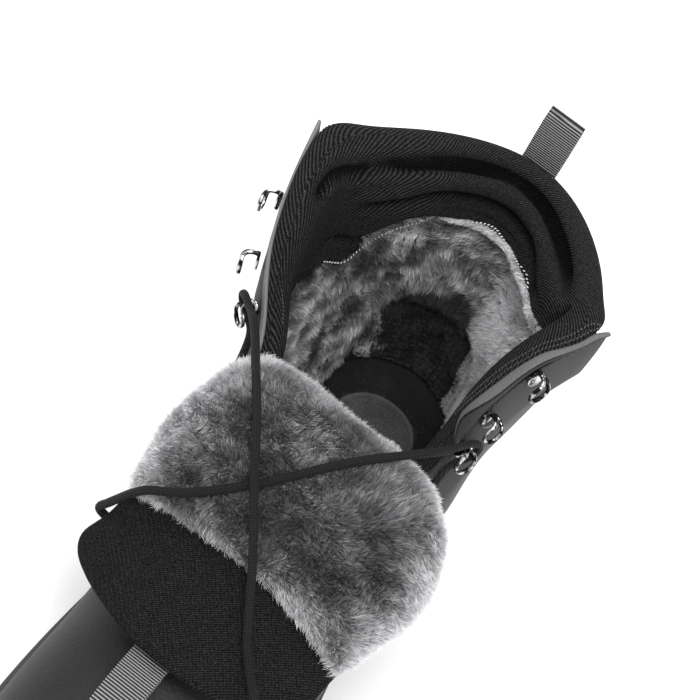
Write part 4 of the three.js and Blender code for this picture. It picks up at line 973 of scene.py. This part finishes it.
laceWidth = 0.0032
laceEnds = {
    "right": [(37.2, -65.6, 137.5), (34.3, -71.3, 139.3), (30.7, -76.7, 140.6), (27, -82.1, 141.7),
              (23.2, -87.5, 142.5), (19.3, -92.8, 143.1), (15.3, -98.1, 143.1), (11.2, -103.3, 142.2),
              (7.1, -108.2, 140.5), (3, -112.9, 138.2), (-1.2, -117.4, 135.7), (-5.5, -121.8, 133.1),
              (-10, -126, 130.7), (-14.7, -130.1, 128.3), (-19.5, -133.9, 125.8), (-24.5, -137.3, 123.1),
              (-30, -140.1, 120.7), (-35.5, -142.2, 117.6), (-39.4, -143.5, 112.4), (-42.3, -144.2, 106.5),
              (-45.1, -144.8, 100.5), (-47.4, -145, 94.5), (-43, -143.6, 89.8)],
    "left": [(-49, -65.8, 131.7), (-44.6, -72.1, 135.3), (-39.8, -79.1, 137.1), (-35.1, -86.3, 138.5),
             (-30.3, -93.4, 139.7), (-25.4, -100.6, 140.6), (-20.4, -107.7, 140.7), (-15.5, -114.7, 139.5),
             (-10.5, -121.4, 137), (-5.4, -127.7, 134.1), (-0.2, -133.8, 130.7), (5, -139.6, 126.8),
             (10, -145.3, 122.5), (14.5, -150.5, 117.2), (19, -155.4, 111.6), (24, -160.9, 107.1),
             (29.9, -166.9, 105.2), (36.1, -173, 104.5), (41.9, -179, 102.4), (46.8, -184.5, 97.8),
             (48.6, -186.5, 89.7), (45.1, -183.2, 83.4), (39, -177.5, 80.8)],
}


# a round tube along points in metres, its map in millimetres round and along
def tube(name, points, radius, sides=14):
    p = np.array(points)
    way = np.gradient(p, axis=0)
    way /= np.linalg.norm(way, axis=1)[:, None]
    side = np.zeros_like(p)
    first = np.cross(way[0], (0, 0, 1.0))
    side[0] = first / np.linalg.norm(first)
    for k in range(1, len(p)):
        turned = side[k - 1] - way[k] * np.dot(side[k - 1], way[k])
        side[k] = turned / np.linalg.norm(turned)
    other = np.cross(way, side)
    turns = np.linspace(0, 2 * math.pi, sides, endpoint=False)
    ring = side[:, None] * np.cos(turns)[None, :, None] + other[:, None] * np.sin(turns)[None, :, None]
    places = (p[:, None] + ring * radius).reshape(-1, 3)
    run = np.concatenate([[0], np.cumsum(np.linalg.norm(np.diff(p, axis=0), axis=1))]) * 1000
    faces, mapped = [], []
    for k in range(len(p) - 1):
        for s in range(sides):
            n = (s + 1) % sides
            faces.append((k * sides + s, k * sides + n, (k + 1) * sides + n, (k + 1) * sides + s))
            u0, u1 = s / sides * 2 * math.pi * radius * 1000, (s + 1) / sides * 2 * math.pi * radius * 1000
            mapped += [(u0, run[k]), (u1, run[k]), (u1, run[k + 1]), (u0, run[k + 1])]
    for ends, flip in ((range(sides), True), (range((len(p) - 1) * sides, len(p) * sides), False)):
        loop = list(ends)[::-1] if flip else list(ends)
        faces.append(tuple(loop))
        mapped += [(0, 0)] * sides
    mesh = bpy.data.meshes.new(name)
    mesh.from_pydata([tuple(v) for v in places], [], faces)
    layer = mesh.uv_layers.new(name="surface")
    layer.data.foreach_set("uv", np.array(mapped).ravel())
    piece = bpy.data.objects.new(name, mesh)
    bpy.context.scene.collection.objects.link(piece)
    activate(piece)
    bpy.ops.object.shade_smooth_by_angle(angle=math.radians(60))
    return piece


for side, route in laceEnds.items():
    points, length = curvePoints(np.array(route) / 1000, 120)
    piece = tube(f"lace_end_{side}_braid", points, laceWidth / 2)
    dress(piece, "lace", "cord", f"lace_end_{side}")

laceBody = copyNode("lace", "lace_body")
smoothSolid(laceBody, 1, 100, 0.2)
aroundMap(laceBody)
dress(laceBody, "lace", "cord", "lace")

for node in ("heel_loop", "tongue_loop"):
    piece = copyNode(node, node + "_webbing")
    smoothSolid(piece, 1, 60, 1.0)
    p = verts(piece)
    setSurfaceMap(piece, np.stack([p[:, 0] * 1000, (p[:, 2] if node == "heel_loop" else p[:, 1]) * 1000], 1))
    dress(piece, "webbing", "webbing", node)

for word in ("right", "left"):
    for kind in ("hook", "ring"):
        for n in (1, 2, 3):
            node = f"{kind}_{word}_{n}"
            piece = copyNode(node, node + "_polished")
            smoothSolid(piece, 1, 60, 0.4)
            dress(piece, "metal", "hooks", node)
print("cords and hooks")

# floor

deselectAll()
bpy.ops.mesh.primitive_plane_add(size=60, location=(0, 0, 0))
floor = bpy.context.active_object
floor.name = "floor"
floor.data.materials.append(newMaterial("paleFloor", lambda place, surface: {
    "Base Color": place.noise(3, 2).blend((0.93, 0.93, 0.93), (0.95, 0.95, 0.95)), "Roughness": 0.9}))
